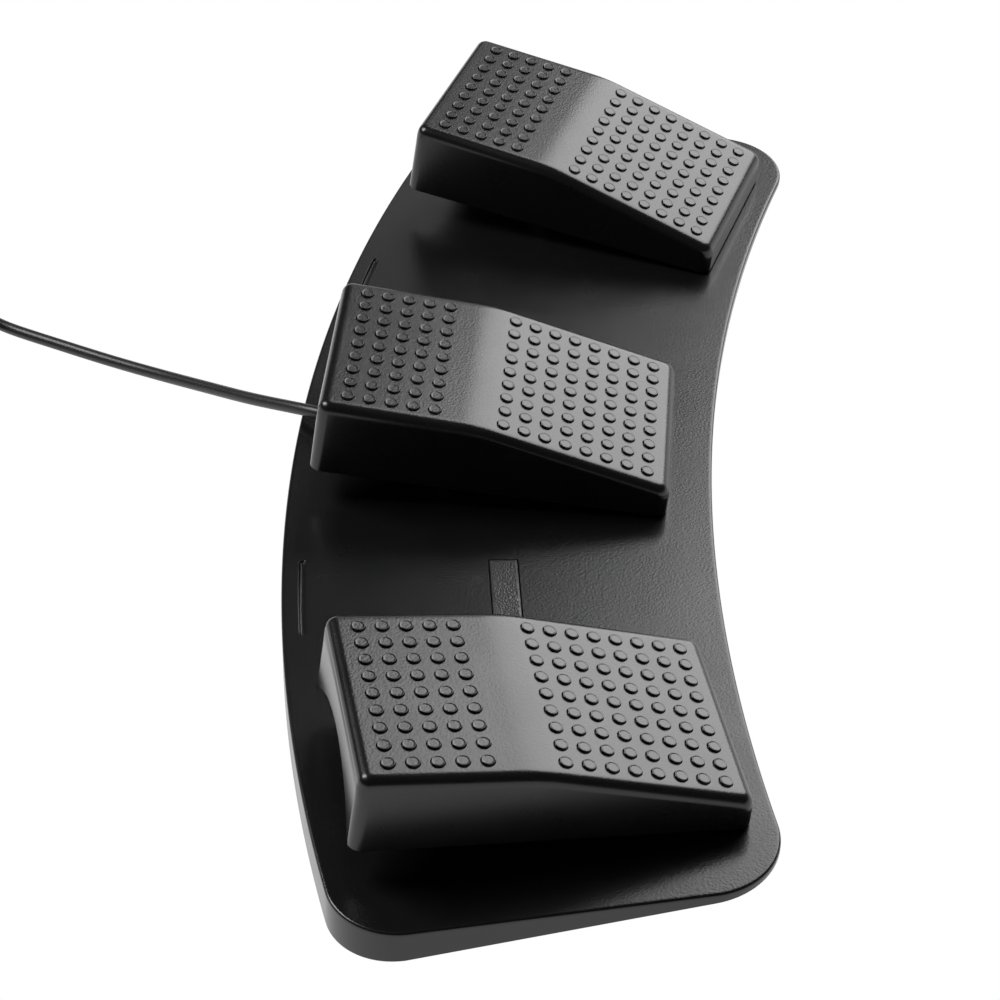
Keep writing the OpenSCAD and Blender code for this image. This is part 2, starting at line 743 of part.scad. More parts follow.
// Tie: a flat band once round all the loops
module cable_tie() {
    low = coil_in_r - cable_d / 2 - tie_play;
    high = coil_out_r + cable_d / 2 + tie_play;
    floor_gap = coil_z - cable_d / 2 - tie_t;
    top = (coil_layers - 1) * coil_step + cable_d + tie_play;
    color("#2b2c2e") translate([coil_centre[0], coil_centre[1], floor_gap]) rotate([0, 0, tie_at])
        translate([0, tie_w / 2, 0]) rotate([90, 0, 0]) linear_extrude(tie_w) difference() {
            translate([low - tie_t, 0]) square([high - low + 2 * tie_t, top + 2 * tie_t]);
            translate([low, tie_t]) square([high - low, top]);
        }
}

// Plug, drawn along +X from the cable's end
module plug_frame() {
    translate(plug_at) rotate([0, 0, plug_turn]) children();
}

function rounded_box(w, h, r) =
    concat(arc([w / 2 - r, h / 2 - r], r, 0, 90, 6), arc([r - w / 2, h / 2 - r], r, 90, 180, 6),
           arc([r - w / 2, r - h / 2], r, 180, 270, 6), arc([w / 2 - r, r - h / 2], r, 270, 360, 6));

module usb_plug_grip() {
    color("#1a1b1d") plug_frame() {
        difference() {
            union() {
                rotate([0, 90, 0]) cylinder(d1 = relief_tip_d, d2 = relief_d, h = relief_l, $fn = 48);
                translate([relief_l - overlap, 0, 0]) rotate([90, 0, 90]) linear_extrude(grip_l)
                    polygon(rounded_box(grip_w, grip_h, grip_r));
            }
            for (i = [0:relief_cuts - 1]) translate([relief_cut_from + relief_cut_pitch * i, 0, 0])
                rotate([0, 90, 0]) difference() {
                    cylinder(d = 2 * relief_d, h = relief_cut_w, $fn = 48);
                    translate([0, 0, -relief_cut_w])
                        cylinder(d = relief_core_d, h = 3 * relief_cut_w, $fn = 48);
                }
            translate([relief_l + grip_l - overlap - shell_in, -shell_w / 2 - seat, -shell_h / 2 - seat])
                cube([shell_in + 1, shell_w + 2 * seat, shell_h + 2 * seat]);
        }
    }
}

module shell_frame() {
    plug_frame() translate([relief_l + grip_l - overlap - shell_in, 0, 0]) children();
}

module usb_plug_shell() {
    color("#c9ccd0") shell_frame() difference() {
        translate([0, -shell_w / 2, -shell_h / 2]) cube([shell_in + shell_out, shell_w, shell_h]);
        translate([-1, shell_t - shell_w / 2, shell_t - shell_h / 2])
            cube([shell_in + shell_out + 2, shell_w - 2 * shell_t, shell_h - 2 * shell_t]);
        for (s = [-1, 1])
            translate([shell_in + shell_window_from, s * shell_window_y - shell_window / 2, -shell_h])
                cube([shell_window, shell_window, 2 * shell_h]);
    }
}

module usb_plug_insert() {
    inside = shell_t + seat;
    color("#f0f0ee") shell_frame() translate([0, -shell_w / 2 + inside, -shell_h / 2 + inside])
        cube([shell_in + shell_out - insert_short, shell_w - 2 * inside, insert_t]);
}

module usb_plug_contacts() {
    color("#caa552") shell_frame() for (i = [-1.5, -0.5, 0.5, 1.5])
        translate([shell_in + contact_from, i * contact_pitch - contact_w / 2,
                   -shell_h / 2 + shell_t + seat + insert_t])
            cube([shell_out - 2 * contact_from, contact_w, contact_t]);
}

// Pedal: bent cap with skirts, studs, an arched rear wall, hinge lugs, a spring boss and a switch tip
function corner_arc(p, from, to, r, n) =
    let (a = unit(from - p), b = unit(to - p), half = acos(a * b) / 2, c = p + unit(a + b) * r / sin(half),
         s = p + a * r / tan(half) - c, e = p + b * r / tan(half) - c, w = atan2(s[1], s[0]),
         turn = atan2(s[0] * e[1] - s[1] * e[0], s * e))
    [for (i = [0:n]) c + r * [cos(w + turn * i / n), sin(w + turn * i / n)]];

// Profile with each side drawn in: the skirts by side, the top by top, and its three upper corners rounded
function drawn_in(side, top) =
    let (n = len(PROFILE), t = [side, top, top, side, side > 0 ? -1 : 0])
    [for (i = [0:n - 1])
        let (p = PROFILE[i], a = unit(PROFILE[(i + n - 1) % n] - p), b = unit(PROFILE[(i + 1) % n] - p),
             s = abs(a[0] * b[1] - a[1] * b[0]))
        p + a * t[i] / s + b * t[(i + n - 1) % n] / s];
function cap_profile(side, top) =
    let (q = drawn_in(side, top), r = max(edge_r - side, least_r))
    concat([q[0]], corner_arc(q[1], q[0], q[2], r, 5), corner_arc(q[2], q[1], q[3], bend_r - top, 6),
           corner_arc(q[3], q[2], q[4], r, 5), [q[4]]);

module cap_solid(side, top) {
    rear = -rear_len - rear_lean + side + trim;
    front = ramp_len + front_lean - side - trim;
    r = max(pedal_corner_r - side, least_r);
    intersection() {
        translate([0, pedal_w / 2 - side, 0]) rotate([90, 0, 0]) linear_extrude(pedal_w - 2 * side)
            polygon(cap_profile(side, top));
        translate([(rear + front) / 2, 0, -5]) linear_extrude(deep)
            polygon(rounded_box(front - rear, pedal_w - 2 * side, r));
    }
}

// Cutter that rounds a long side edge of a facet
module edge_cut(from, to) {
    translate([from, pedal_w / 2, 0]) rotate([90, 0, 90]) linear_extrude(to - from)
        polygon(concat([[1, 1], [-edge_r, 1]], arc([-edge_r, -edge_r], edge_r, 90, 0, 5), [[1, -edge_r]]));
}

module facet(slope) {
    translate([0, 0, bend_h]) rotate([0, slope, 0]) children();
}

module studs(count, first, way) {
    for (i = [0:count - 1], j = [0:stud_rows - 1])
        translate([way * (first + i * stud_pitch), (j - (stud_rows - 1) / 2) * stud_pitch, -stud_sunk])
            cylinder(d1 = stud_d, d2 = stud_top_d, h = stud_h + stud_sunk, $fn = 24);
}

module hinge_lugs() {
    for (s = [0, 1]) mirror([0, s, 0]) translate([hinge_x, lug_y, 0]) {
        translate([0, 0, hinge_z]) cross_rod(2 * lug_r, lug_t);
        translate([-lug_r, 0, hinge_z]) cube([2 * lug_r, lug_t, bend_h]);
    }
}

module pedal(side) {
    color("#2a2c2f") station(side) difference() {
        union() {
            pedal_frame() {
                difference() {
                    cap_solid(0, 0);
                    cap_solid(skirt_t, top_t);
                    for (s = [0, 1]) mirror([0, s, 0]) {
                        facet(rear_slope) edge_cut(-rear_len - edge_r, 1);
                        facet(ramp_slope) edge_cut(-1, ramp_len + 2 * edge_r);
                    }
                    translate([-rear_len - 2 * skirt_t, 0, arch_rise - arch_r]) rotate([0, 90, 0])
                        cylinder(r = arch_r, h = 4 * skirt_t, $fn = 128);
                }
                facet(rear_slope) studs(REAR_STUDS[0], REAR_STUDS[1], -1);
                facet(ramp_slope) studs(RAMP_STUDS[0], RAMP_STUDS[1], 1);
                intersection() {
                    cap_solid(skirt_t / 2, top_t / 2);
                    union() {
                        hinge_lugs();
                        ribs();
                    }
                }
            }
            under_fittings();
        }
        translate([hinge_fwd, -lug_y - lug_t - pass, hinge_up])
            cross_rod(pin_d + 2 * run, 2 * (lug_y + lug_t + pass));
    }
}

// Two stiffening ribs along the underside
module ribs() {
    for (s = [-1, 1]) difference() {
        translate([-rear_len, s * rib_y - rib_t / 2, 0]) cube([rear_len + rib_reach, rib_t, rear_h]);
        translate([0, -pedal_w, 0]) rotate([-90, 0, 0]) mirror([0, 1, 0]) linear_extrude(2 * pedal_w)
            polygon(drawn_in(-2 * skirt_t, top_t + rib_deep));
    }
}

// Spring boss and switch tip, drawn in the station with the pedal up
module under_fittings() {
    intersection() {
        pedal_frame() cap_solid(skirt_t / 2, top_t / 2);
        union() {
            translate([spring_x, 0, spring_top]) cylinder(d = boss_d, h = deep, $fn = 48);
            translate([pivot_x - touch_reach, switch_y - tip_w / 2, tip_z]) {
                cross_rod(2 * tip_r, tip_w);
                translate([-tip_r, 0, 0]) cube([2 * tip_r, tip_w, deep]);
            }
        }
    }
}

module hinge_pin(side) {
    color("#b5b8bc") station(side) translate([hinge_fwd, -lug_y - lug_t, hinge_up])
        cross_rod(pin_d, 2 * (lug_y + lug_t));
}

// Compression spring between the deck's seat and the pedal's boss
module return_spring(side) {
    low = spring_foot + spring_wire / 2 + seat;
    high = spring_top - spring_wire / 2 - seat;
    n = spring_turns * spring_rings;
    r = spring_d / 2;
    color("#a9adb2") tube([for (i = [0:n]) let (a = 360 * i / spring_rings)
        from_station(side, [spring_x + r * cos(a), r * sin(a), low + (high - low) * i / n])], spring_wire, 6);
}

// Microswitch
module switch_case(side) {
    color("#1e1f21") station(side) difference() {
        union() {
            translate([switch_x - switch_l / 2, switch_y - switch_w / 2, seat])
                cube([switch_l, switch_w, switch_h - seat]);
            for (y = [lever_w / 2 + pass, -lever_w / 2 - pass - cheek_t])
                translate([pivot_x - cheek_r, switch_y + y, switch_h - cheek_sunk])
                    cube([2 * cheek_r, cheek_t, pivot_over + cheek_r + cheek_sunk]);
        }
        switch_fixings() translate([0, -1, 0]) cross_rod(fix_d + hole_play, switch_w + 2);
        translate([pivot_x, switch_y - switch_w / 2, pivot_z]) cross_rod(pivot_d + 2 * run, switch_w);
        translate([plunger_x, switch_y, switch_h - plunger_bore])
            cylinder(d = plunger_d + 2 * run, h = deep, $fn = 32);
    }
}

module switch_terminals(side) {
    color("#c8b068") station(side) for (x = TERMINALS)
        translate([switch_x + x - terminal_w / 2, switch_y - terminal_t / 2, -terminal_l])
            cube([terminal_w, terminal_t, terminal_l + seat]);
}

module switch_lever(side) {
    color("#c3c6ca") station(side) translate([pivot_x, switch_y, pivot_z]) rotate([0, lever_rest, 0]) {
        translate([-lever_l, -lever_w / 2, -lever_t / 2]) cube([lever_l, lever_w, lever_t]);
        translate([0, -lever_w / 2, 0]) cross_rod(barrel_d, lever_w);
        translate([0, -lever_w / 2 - pass - cheek_t, 0]) cross_rod(pivot_d, lever_w + 2 * pass + 2 * cheek_t);
    }
}

module switch_plunger(side) {
    r = plunger_d / 2;
    color("#b23a2e") station(side) translate([plunger_x, switch_y, 0]) rotate_extrude($fn = 32)
        polygon(concat([[0, plunger_low], [r, plunger_low]], arc([0, plunger_z], r, 0, 90, 6)));
}

module switch_screws(side) {
    color("#8a8d90") station(side) switch_fixings() {
        translate([0, -seat, 0]) cross_rod(fix_d, switch_w + web_t);
        translate([0, -fix_head_h - seat, 0]) cross_rod(fix_head_d, fix_head_h);
    }
}

// Two leads from two of a switch's terminals to the board, one above the other,
// and side by side on the board.
// Near the board their places are counted from the board's rear edge, so they go with it.
LEADS = [
    [[-16, -98, -4.2], [board_x + 12, -90, -4.2], [board_x + 8, -82, -3.8], [board_x + 7, -76, -3.6],
     [board_x + 6, -69, -3.6]],
    [[-20, 14, -3.8], [board_x + 7, 12, -4], [board_x + 3, 6, -4], [board_x + 2, -6, -4],
     [board_x + 4, -20, -4],
     [board_x + 9, -34, -3.8], [board_x + 12, -41, -3.6], [board_x + 12, -46, -3.6]],
    [[0, 112, -3.6], [-9, 100, -4], [board_x + 17, 86, -4], [board_x + 10, 70, -4], [board_x + 5, 52, -4],
     [board_x + 4, 36, -4], [board_x, 16, -4], [board_x - 2, 4, -4], [board_x - 2, -14, -4],
     [board_x + 2, -32, -3.8], [board_x + 6, -41, -3.6], [board_x + 6, -46, -3.6]]];

module switch_leads(side) {
    route = LEADS[side + 1];
    n = len(route);
    color("#7a7d82") for (k = [0, 1]) {
        x = switch_x + TERMINALS[1 - k];
        y = switch_y - (terminal_t + lead_d) / 2 - seat;
        drop = (1 - k) * lead_gap;
        path = [for (i = [0:n - 1]) route[i] + (i < n - 2 ? [0, 0, -drop] : [(1 - k) * lead_side_gap, 0, 0])];
        tube(concat([from_station(side, [x - 0.4, y, -terminal_l + 0.2]),
                     from_station(side, [x - 2.4, y - 0.3, -terminal_l - 0.1 - drop])],
                    [for (p = path) from_deck(p)]), lead_d, 6);
    }
}

// Hinge and slide axes of the moving pieces, in the part's frame
for (side = SIDES) echo(side = side,
    hinge = from_station(side, [hinge_fwd, 0, hinge_up]),
    lever = from_station(side, [pivot_x, switch_y, pivot_z]),
    down = from_station(side, [0, 0, -1]) - from_station(side, [0, 0, 0]),
    turn_axis = from_station(side, [0, -1, 0]) - from_station(side, [0, 0, 0]));
echo(foot = FEET[0], exit = cable_exit, deck_x = deck_x, deck_z = deck_z, plug = plug_at,
     plug_turn = plug_turn, coil_centre = coil_centre);

base_shell();
bottom_plate();
rubber_feet();
bottom_screws();
deck_strip();
controller_board();
controller_chip();
crystal_can();
board_screws();
cable_grommet();
cable_tail();
cable_conductors();
usb_cable();
usb_cable_coil();
cable_tie();
usb_plug_grip();
usb_plug_shell();
usb_plug_insert();
usb_plug_contacts();
pedal(-1);  // pedal_left
pedal(0);  // pedal_centre
pedal(1);  // pedal_right
hinge_pin(-1);  // hinge_pin_left
hinge_pin(0);  // hinge_pin_centre
hinge_pin(1);  // hinge_pin_right
return_spring(-1);  // return_spring_left
return_spring(0);  // return_spring_centre
return_spring(1);  // return_spring_right
switch_case(-1);  // switch_case_left
switch_case(0);  // switch_case_centre
switch_case(1);  // switch_case_right
switch_terminals(-1);  // switch_terminals_left
switch_terminals(0);  // switch_terminals_centre
switch_terminals(1);  // switch_terminals_right
switch_lever(-1);  // switch_lever_left
switch_lever(0);  // switch_lever_centre
switch_lever(1);  // switch_lever_right
switch_plunger(-1);  // switch_plunger_left
switch_plunger(0);  // switch_plunger_centre
switch_plunger(1);  // switch_plunger_right
switch_screws(-1);  // switch_screws_left
switch_screws(0);  // switch_screws_centre
switch_screws(1);  // switch_screws_right
switch_leads(-1);  // switch_leads_left
switch_leads(0);  // switch_leads_centre
switch_leads(1);  // switch_leads_right
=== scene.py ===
import math

import bmesh
import bpy
import numpy as np
from mathutils import Matrix, Vector
from mathutils.geometry import delaunay_2d_cdt


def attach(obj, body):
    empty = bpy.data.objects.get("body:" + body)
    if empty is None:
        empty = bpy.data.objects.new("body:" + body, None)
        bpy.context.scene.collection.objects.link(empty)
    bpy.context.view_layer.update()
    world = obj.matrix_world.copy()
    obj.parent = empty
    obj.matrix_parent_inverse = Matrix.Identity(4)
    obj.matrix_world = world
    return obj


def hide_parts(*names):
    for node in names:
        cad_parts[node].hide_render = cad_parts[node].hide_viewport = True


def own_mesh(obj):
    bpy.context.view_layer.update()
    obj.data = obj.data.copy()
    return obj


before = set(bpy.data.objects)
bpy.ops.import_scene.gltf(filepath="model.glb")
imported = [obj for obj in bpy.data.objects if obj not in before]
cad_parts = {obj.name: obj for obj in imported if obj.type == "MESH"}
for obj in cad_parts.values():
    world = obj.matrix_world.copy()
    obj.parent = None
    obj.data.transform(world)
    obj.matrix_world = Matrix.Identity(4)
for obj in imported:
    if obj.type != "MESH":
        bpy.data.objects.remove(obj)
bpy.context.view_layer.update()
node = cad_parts

# Camera
# The photograph looks down from the user's left with a long lens. The three directions are the picture's
# right, up and back, found by fitting the studs and the outline.
sensor_width, focal_length, nearest = 36, 100.3, 0.05
camera_at = Vector((0.05828, -0.5179, 0.41475))
right = Vector((0.99485, 0.07643, -0.06660))
up = Vector((0.00314, 0.63344, 0.77378))
back = Vector((0.10132, -0.77000, 0.62994))
camera = bpy.data.objects.new("camera", bpy.data.cameras.new("camera"))
bpy.context.scene.collection.objects.link(camera)
camera.data.sensor_width = sensor_width
camera.data.lens = focal_length
camera.data.clip_start = nearest
camera.matrix_world = Matrix.Translation(camera_at) @ Matrix((right, up, back)).transposed().to_4x4()
bpy.context.scene.camera = camera
bpy.context.scene.view_settings.view_transform = "Standard"


# Floor and background
# A white sweep: pure white to the camera and in reflections, and a plain pale floor to the light that falls
# on it. Round the horizon reflections still see the sweep, and above it a dim room.
def seen(tree):
    """A socket that is 1 for what is seen straight, in gloss or through glass, and 0 for other light."""
    ray = tree.nodes.new("ShaderNodeLightPath")
    gloss = tree.nodes.new("ShaderNodeMath")
    glass = tree.nodes.new("ShaderNodeMath")
    gloss.operation = glass.operation = "MAXIMUM"
    tree.links.new(ray.outputs["Is Camera Ray"], gloss.inputs[0])
    tree.links.new(ray.outputs["Is Glossy Ray"], gloss.inputs[1])
    tree.links.new(gloss.outputs[0], glass.inputs[0])
    tree.links.new(ray.outputs["Is Transmission Ray"], glass.inputs[1])
    return glass.outputs[0]


floor_size, floor_grey = 8.0, 0.85
corner = floor_size / 2
corners = [(-corner, -corner, 0), (corner, -corner, 0), (corner, corner, 0), (-corner, corner, 0)]
floor = bpy.data.objects.new("floor", bpy.data.meshes.new("floor"))
bpy.context.scene.collection.objects.link(floor)
floor.data.from_pydata(corners, [], [(0, 1, 2, 3)])
floor_white = bpy.data.materials.new("floor_white")
floor_white.use_nodes = True
tree = floor_white.node_tree
tree.nodes.clear()
matt = tree.nodes.new("ShaderNodeBsdfDiffuse")
matt.inputs["Color"].default_value = (floor_grey, floor_grey, floor_grey, 1)
glow = tree.nodes.new("ShaderNodeEmission")
mix = tree.nodes.new("ShaderNodeMixShader")
out = tree.nodes.new("ShaderNodeOutputMaterial")
tree.links.new(seen(tree), mix.inputs[0])
tree.links.new(matt.outputs[0], mix.inputs[1])
tree.links.new(glow.outputs[0], mix.inputs[2])
tree.links.new(mix.outputs[0], out.inputs[0])
floor.data.materials.append(floor_white)

# The sweep fades into the room between two heights of a direction of length 1
room_grey = 0.04
sweep_foot, sweep_top = 0.03, 0.12
world = bpy.data.worlds.new("studio")
bpy.context.scene.world = world
world.use_nodes = True
tree = world.node_tree
tree.nodes.clear()
ray = tree.nodes.new("ShaderNodeLightPath")
place = tree.nodes.new("ShaderNodeTexCoord")
axes = tree.nodes.new("ShaderNodeSeparateXYZ")
fade = tree.nodes.new("ShaderNodeMapRange")
fade.interpolation_type = "SMOOTHSTEP"
fade.inputs["From Min"].default_value = sweep_foot
fade.inputs["From Max"].default_value = sweep_top
fade.inputs["To Min"].default_value = 1
fade.inputs["To Max"].default_value = room_grey
tree.links.new(place.outputs["Generated"], axes.inputs[0])
tree.links.new(axes.outputs["Z"], fade.inputs["Value"])
room = tree.nodes.new("ShaderNodeBackground")
tree.links.new(fade.outputs["Result"], room.inputs["Color"])
sweep = tree.nodes.new("ShaderNodeBackground")
sweep.inputs["Color"].default_value = (1, 1, 1, 1)
mix = tree.nodes.new("ShaderNodeMixShader")
out = tree.nodes.new("ShaderNodeOutputWorld")
tree.links.new(ray.outputs["Is Camera Ray"], mix.inputs[0])
tree.links.new(room.outputs[0], mix.inputs[1])
tree.links.new(sweep.outputs[0], mix.inputs[2])
tree.links.new(mix.outputs[0], out.inputs[0])


# Lamps
# A tall softbox on the far right lights the tops by reflection and leaves the deck dark. A key light high on
# the left picks out the rounded edges and corners, and a weak lamp low on the far side lifts the far deck.
def panel(name, at, size, watts):
    """An area lamp at a point in metres, turned to face the middle of the object."""
    lamp = bpy.data.lights.new(name, "AREA")
    lamp.shape = "RECTANGLE"
    lamp.size, lamp.size_y = size
    lamp.energy = watts
    lamp_object = bpy.data.objects.new(name, lamp)
    bpy.context.scene.collection.objects.link(lamp_object)
    lamp_object.location = at
    lamp_object.rotation_euler = (-Vector(at)).to_track_quat("-Z", "Y").to_euler()


panel("key_lamp", at=(-0.58, 0.1, 0.81), size=(0.4, 0.5), watts=7.5)
panel("softbox", at=(0.41, 0.73, 0.545), size=(0.56, 0.8), watts=7.6)
panel("far_lamp", at=(-0.05, 0.9, 0.42), size=(0.3, 0.3), watts=0.22)


# USB cable
# The round black PVC cable leaves the grommet under the centre pedal's rear arch, drops to the floor and runs
# out of the picture on the left. The rest of its length is wound into a coil held by a tie.
def smooth_path(points, steps):
    """Points on a smooth cubic curve through the given points, steps to each span. The curve's slope at a
    point is half the way from the point before it to the point after it."""
    p = np.vstack([2 * points[0] - points[1], points, 2 * points[-1] - points[-2]])
    t = np.linspace(0, 1, steps, endpoint=False)[:, None]
    spans = []
    for a, b, c, d in zip(p[:-3], p[1:-2], p[2:-1], p[3:]):
        square = (2 * a - 5 * b + 4 * c - d) * t**2
        cube = (3 * b - a - 3 * c + d) * t**3
        spans.append(0.5 * (2 * b + (c - a) * t + square + cube))
    return np.vstack(spans + [points[-1:]])


def skin(rings, cap_first=True, cap_last=True):
    """Points and faces of rings of equal count joined in order, with flat ends."""
    rings = np.asarray(rings, float)
    rows, n = rings.shape[:2]
    a = np.arange(n)
    b = (a + 1) % n
    r = np.arange(rows - 1)[:, None] * n
    faces = np.stack([r + a, r + b, r + b + n, r + a + n], axis=-1).reshape(-1, 4).tolist()
    if cap_first:
        faces.append(list(range(n))[::-1])
    if cap_last:
        faces.append(list(range((rows - 1) * n, rows * n)))
    return rings.reshape(-1, 3), faces


def tube(path, diameter, sides):
    """Points and faces of a closed round tube: a circle square to the path at each of its points."""
    along = np.gradient(path, axis=0)
    along /= np.linalg.norm(along, axis=1)[:, None]
    side = np.cross([0, 0, 1.0], along)
    side /= np.linalg.norm(side, axis=1)[:, None]
    top = np.cross(along, side)
    turn = (np.arange(sides) * 2 * math.pi / sides)[:, None]
    circles = side[:, None] * np.cos(turn) + top[:, None] * np.sin(turn)
    return skin(path[:, None] + diameter / 2 * circles)


def add_piece(name, points, faces, material, crease=35):
    """A smooth-shaded mesh object, its points in metres in the part's frame. Edges sharper than crease, in
    degrees, stay sharp. Its attributes level and rear are how far the normal at each face corner faces up and
    away from the user, from 0 to 1."""
    merge_within = 1e-6
    mesh = bpy.data.meshes.new(name)
    mesh.from_pydata(np.asarray(points, float).tolist(), [], faces)
    work = bmesh.new()
    work.from_mesh(mesh)
    bmesh.ops.remove_doubles(work, verts=work.verts, dist=merge_within)
    bmesh.ops.recalc_face_normals(work, faces=work.faces)
    work.to_mesh(mesh)
    work.free()
    mesh.materials.append(material)
    mesh.shade_smooth()
    mesh.set_sharp_from_angle(angle=math.radians(crease))
    normals = np.empty(3 * len(mesh.loops))
    mesh.corner_normals.foreach_get("vector", normals)
    for way, facing in (("level", normals[2::3]), ("rear", -normals[::3])):
        mesh.attributes.new(way, "FLOAT", "CORNER").data.foreach_set("value", np.clip(facing, 0, 1))
    piece = bpy.data.objects.new(name, mesh)
    bpy.context.scene.collection.objects.link(piece)
    return piece


def finish(name, colour, roughness, grain_size=0.0008, grain_depth=0.000006, metallic=0.0, drift=0.12,
           drift_size=0.012, top_roughness=None, rear_roughness=None):
    """A moulded or metal surface: colour and roughness drift a little, as a noise over drift_size in metres,
    and a fine grain of the given size and depth, in metres, stands up as bumps. A textured top and a rear
    wall differ from the side walls: their roughness comes in with a power of the attributes level and rear,
    and the grain with that of level."""
    polish_drift, facing_power = 0.04, 4
    material = bpy.data.materials.new(name)
    material.use_nodes = True
    tree = material.node_tree
    shader = tree.nodes["Principled BSDF"]
    shader.inputs["Metallic"].default_value = metallic
    place = tree.nodes.new("ShaderNodeTexCoord")

    def noise(size, detail):
        """A noise with lumps of one size, in metres."""
        texture = tree.nodes.new("ShaderNodeTexNoise")
        texture.inputs["Scale"].default_value = 1 / size
        texture.inputs["Detail"].default_value = detail
        tree.links.new(place.outputs["Object"], texture.inputs["Vector"])
        return texture.outputs["Fac"]

    def facing(way):
        """A power of an attribute, which keeps it to the faces that point that way."""
        attribute = tree.nodes.new("ShaderNodeAttribute")
        attribute.attribute_name = way
        power = tree.nodes.new("ShaderNodeMath")
        power.operation = "POWER"
        power.inputs[1].default_value = facing_power
        tree.links.new(attribute.outputs["Fac"], power.inputs[0])
        return power.outputs[0]

    cloud = noise(drift_size, detail=3)
    tone = tree.nodes.new("ShaderNodeMix")
    tone.data_type = "RGBA"
    tone.inputs["A"].default_value = (*(c * (1 - drift) for c in colour), 1)
    tone.inputs["B"].default_value = (*(c * (1 + drift) for c in colour), 1)
    tree.links.new(cloud, tone.inputs["Factor"])
    tree.links.new(tone.outputs["Result"], shader.inputs["Base Color"])
    polish = tree.nodes.new("ShaderNodeMapRange")
    polish.inputs["To Min"].default_value = roughness - polish_drift
    polish.inputs["To Max"].default_value = roughness + polish_drift
    tree.links.new(cloud, polish.inputs["Value"])
    rough = polish.outputs["Result"]
    bump = tree.nodes.new("ShaderNodeBump")
    bump.inputs["Strength"].default_value = 1
    bump.inputs["Distance"].default_value = grain_depth
    for way, other in (("level", top_roughness), ("rear", rear_roughness)):
        if other is None:
            continue
        share = facing(way)
        extra = tree.nodes.new("ShaderNodeMath")
        extra.operation = "MULTIPLY_ADD"
        extra.inputs[1].default_value = other - roughness
        tree.links.new(share, extra.inputs[0])
        tree.links.new(rough, extra.inputs[2])
        rough = extra.outputs[0]
        if way == "level":
            tree.links.new(share, bump.inputs["Strength"])
    tree.links.new(rough, shader.inputs["Roughness"])
    tree.links.new(noise(grain_size, detail=0), bump.inputs["Height"])
    tree.links.new(bump.outputs["Normal"], shader.inputs["Normal"])
    return material


# Lengths from here on are in millimetres, and the points of a mesh in metres
cable_d, cable_length, cable_sides = 3.0, 1800.0, 16
cable_exit = np.array([-46.0373, 1, 16.2358])
deck_tilt = math.radians(5)
straight = cable_exit - cable_d * np.array([math.cos(deck_tilt), 0, -math.sin(deck_tilt)])
route = np.array([
    (-56, 4, 16), (-70, 13.5, 12), (-84, 24.5, 7.5), (-98, 34.5, 4), (-112, 42.5, 2.5), (-126, 49.5, 2.3),
    (-140, 56.5, 2.3), (-147, 61, 2.3), (-153, 66, 2.3)])
route_steps = 10

# The coil's loops spiral in and out by turns, and climb a layer in the half turn where the spiral reverses
loops_per_layer, layers, loop_steps = 4, 4, 48
loop_gap, climb_half = 0.45, 0.25
loop_step = cable_d + loop_gap
coil_mean_d = 34.8
outer_r = coil_mean_d / 2 + (loops_per_layer - 1) * loop_step / 2
inner_r = outer_r - loops_per_layer * loop_step
start_angle, end_angle = math.radians(52), math.radians(190)
way_in = np.array([-math.sin(start_angle), math.cos(start_angle), 0])
entry = route[-1] + 2 * cable_d * way_in
coil_centre = entry - outer_r * np.array([math.cos(start_angle), math.sin(start_angle), 0])
turn_count = loops_per_layer * layers + (end_angle - start_angle) / (2 * math.pi)
turns = np.arange(0, turn_count, 1 / loop_steps)
layer = np.minimum(turns // loops_per_layer, layers - 1)
into = turns - layer * loops_per_layer
radius = np.where(layer % 2 == 0, outer_r - loop_step * into, inner_r + loop_step * into)
crossing = np.round(turns / loops_per_layer)
past = turns - crossing * loops_per_layer
climbing = (abs(past) < climb_half) & (crossing >= 1) & (crossing <= layers - 1)
height = np.where(climbing, crossing - 0.5 + past / (2 * climb_half), layer)
angle = start_angle + 2 * math.pi * turns
loops = coil_centre + np.stack([radius * np.cos(angle), radius * np.sin(angle), loop_step * height], axis=1)

# The way out falls along half a cosine wave to the plug, which lies on the floor
plug_height, out_length, out_steps = 4, 30, 10
way_out = np.array([-math.sin(end_angle), math.cos(end_angle), 0])
share = np.linspace(1 / out_steps, 1, out_steps)[:, None]
fall = (loops[-1, 2] - plug_height) * (1 - np.cos(math.pi * share)) / 2
way_down = loops[-1] + way_out * out_length * share - fall * [0, 0, 1]
plug_end = way_down[-1] + way_out * cable_d

free_run = smooth_path(np.vstack([cable_exit, straight, route, entry]), route_steps)
cable_path = np.vstack([free_run[:-1], loops, way_down, plug_end]) / 1000
cable_black = finish("cable_black", (0.016, 0.016, 0.0165), 0.38, grain_size=0.0006, grain_depth=0.00002)
cable = add_piece("cable", *tube(cable_path, cable_d / 1000, cable_sides), cable_black)
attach(cable, "base")
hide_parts("usb_cable", "usb_cable_coil")


# Plug, tie and the cable's inner pieces
# The plug's grip is moulded PVC round a plated steel shell with a white insert and gilt contacts. These, the
# tie, the grommet, the tail and the conductors keep their solids and only take a finish.
def finish_nodes(material, *names):
    """Gives CAD nodes a material in place of their plain one."""
    for name in names:
        node[name].data.materials.clear()
        node[name].data.materials.append(material)


def metal(name, colour, roughness):
    """A metal finish with hardly any grain."""
    return finish(name, colour, roughness, grain_depth=0.000004, metallic=1.0)


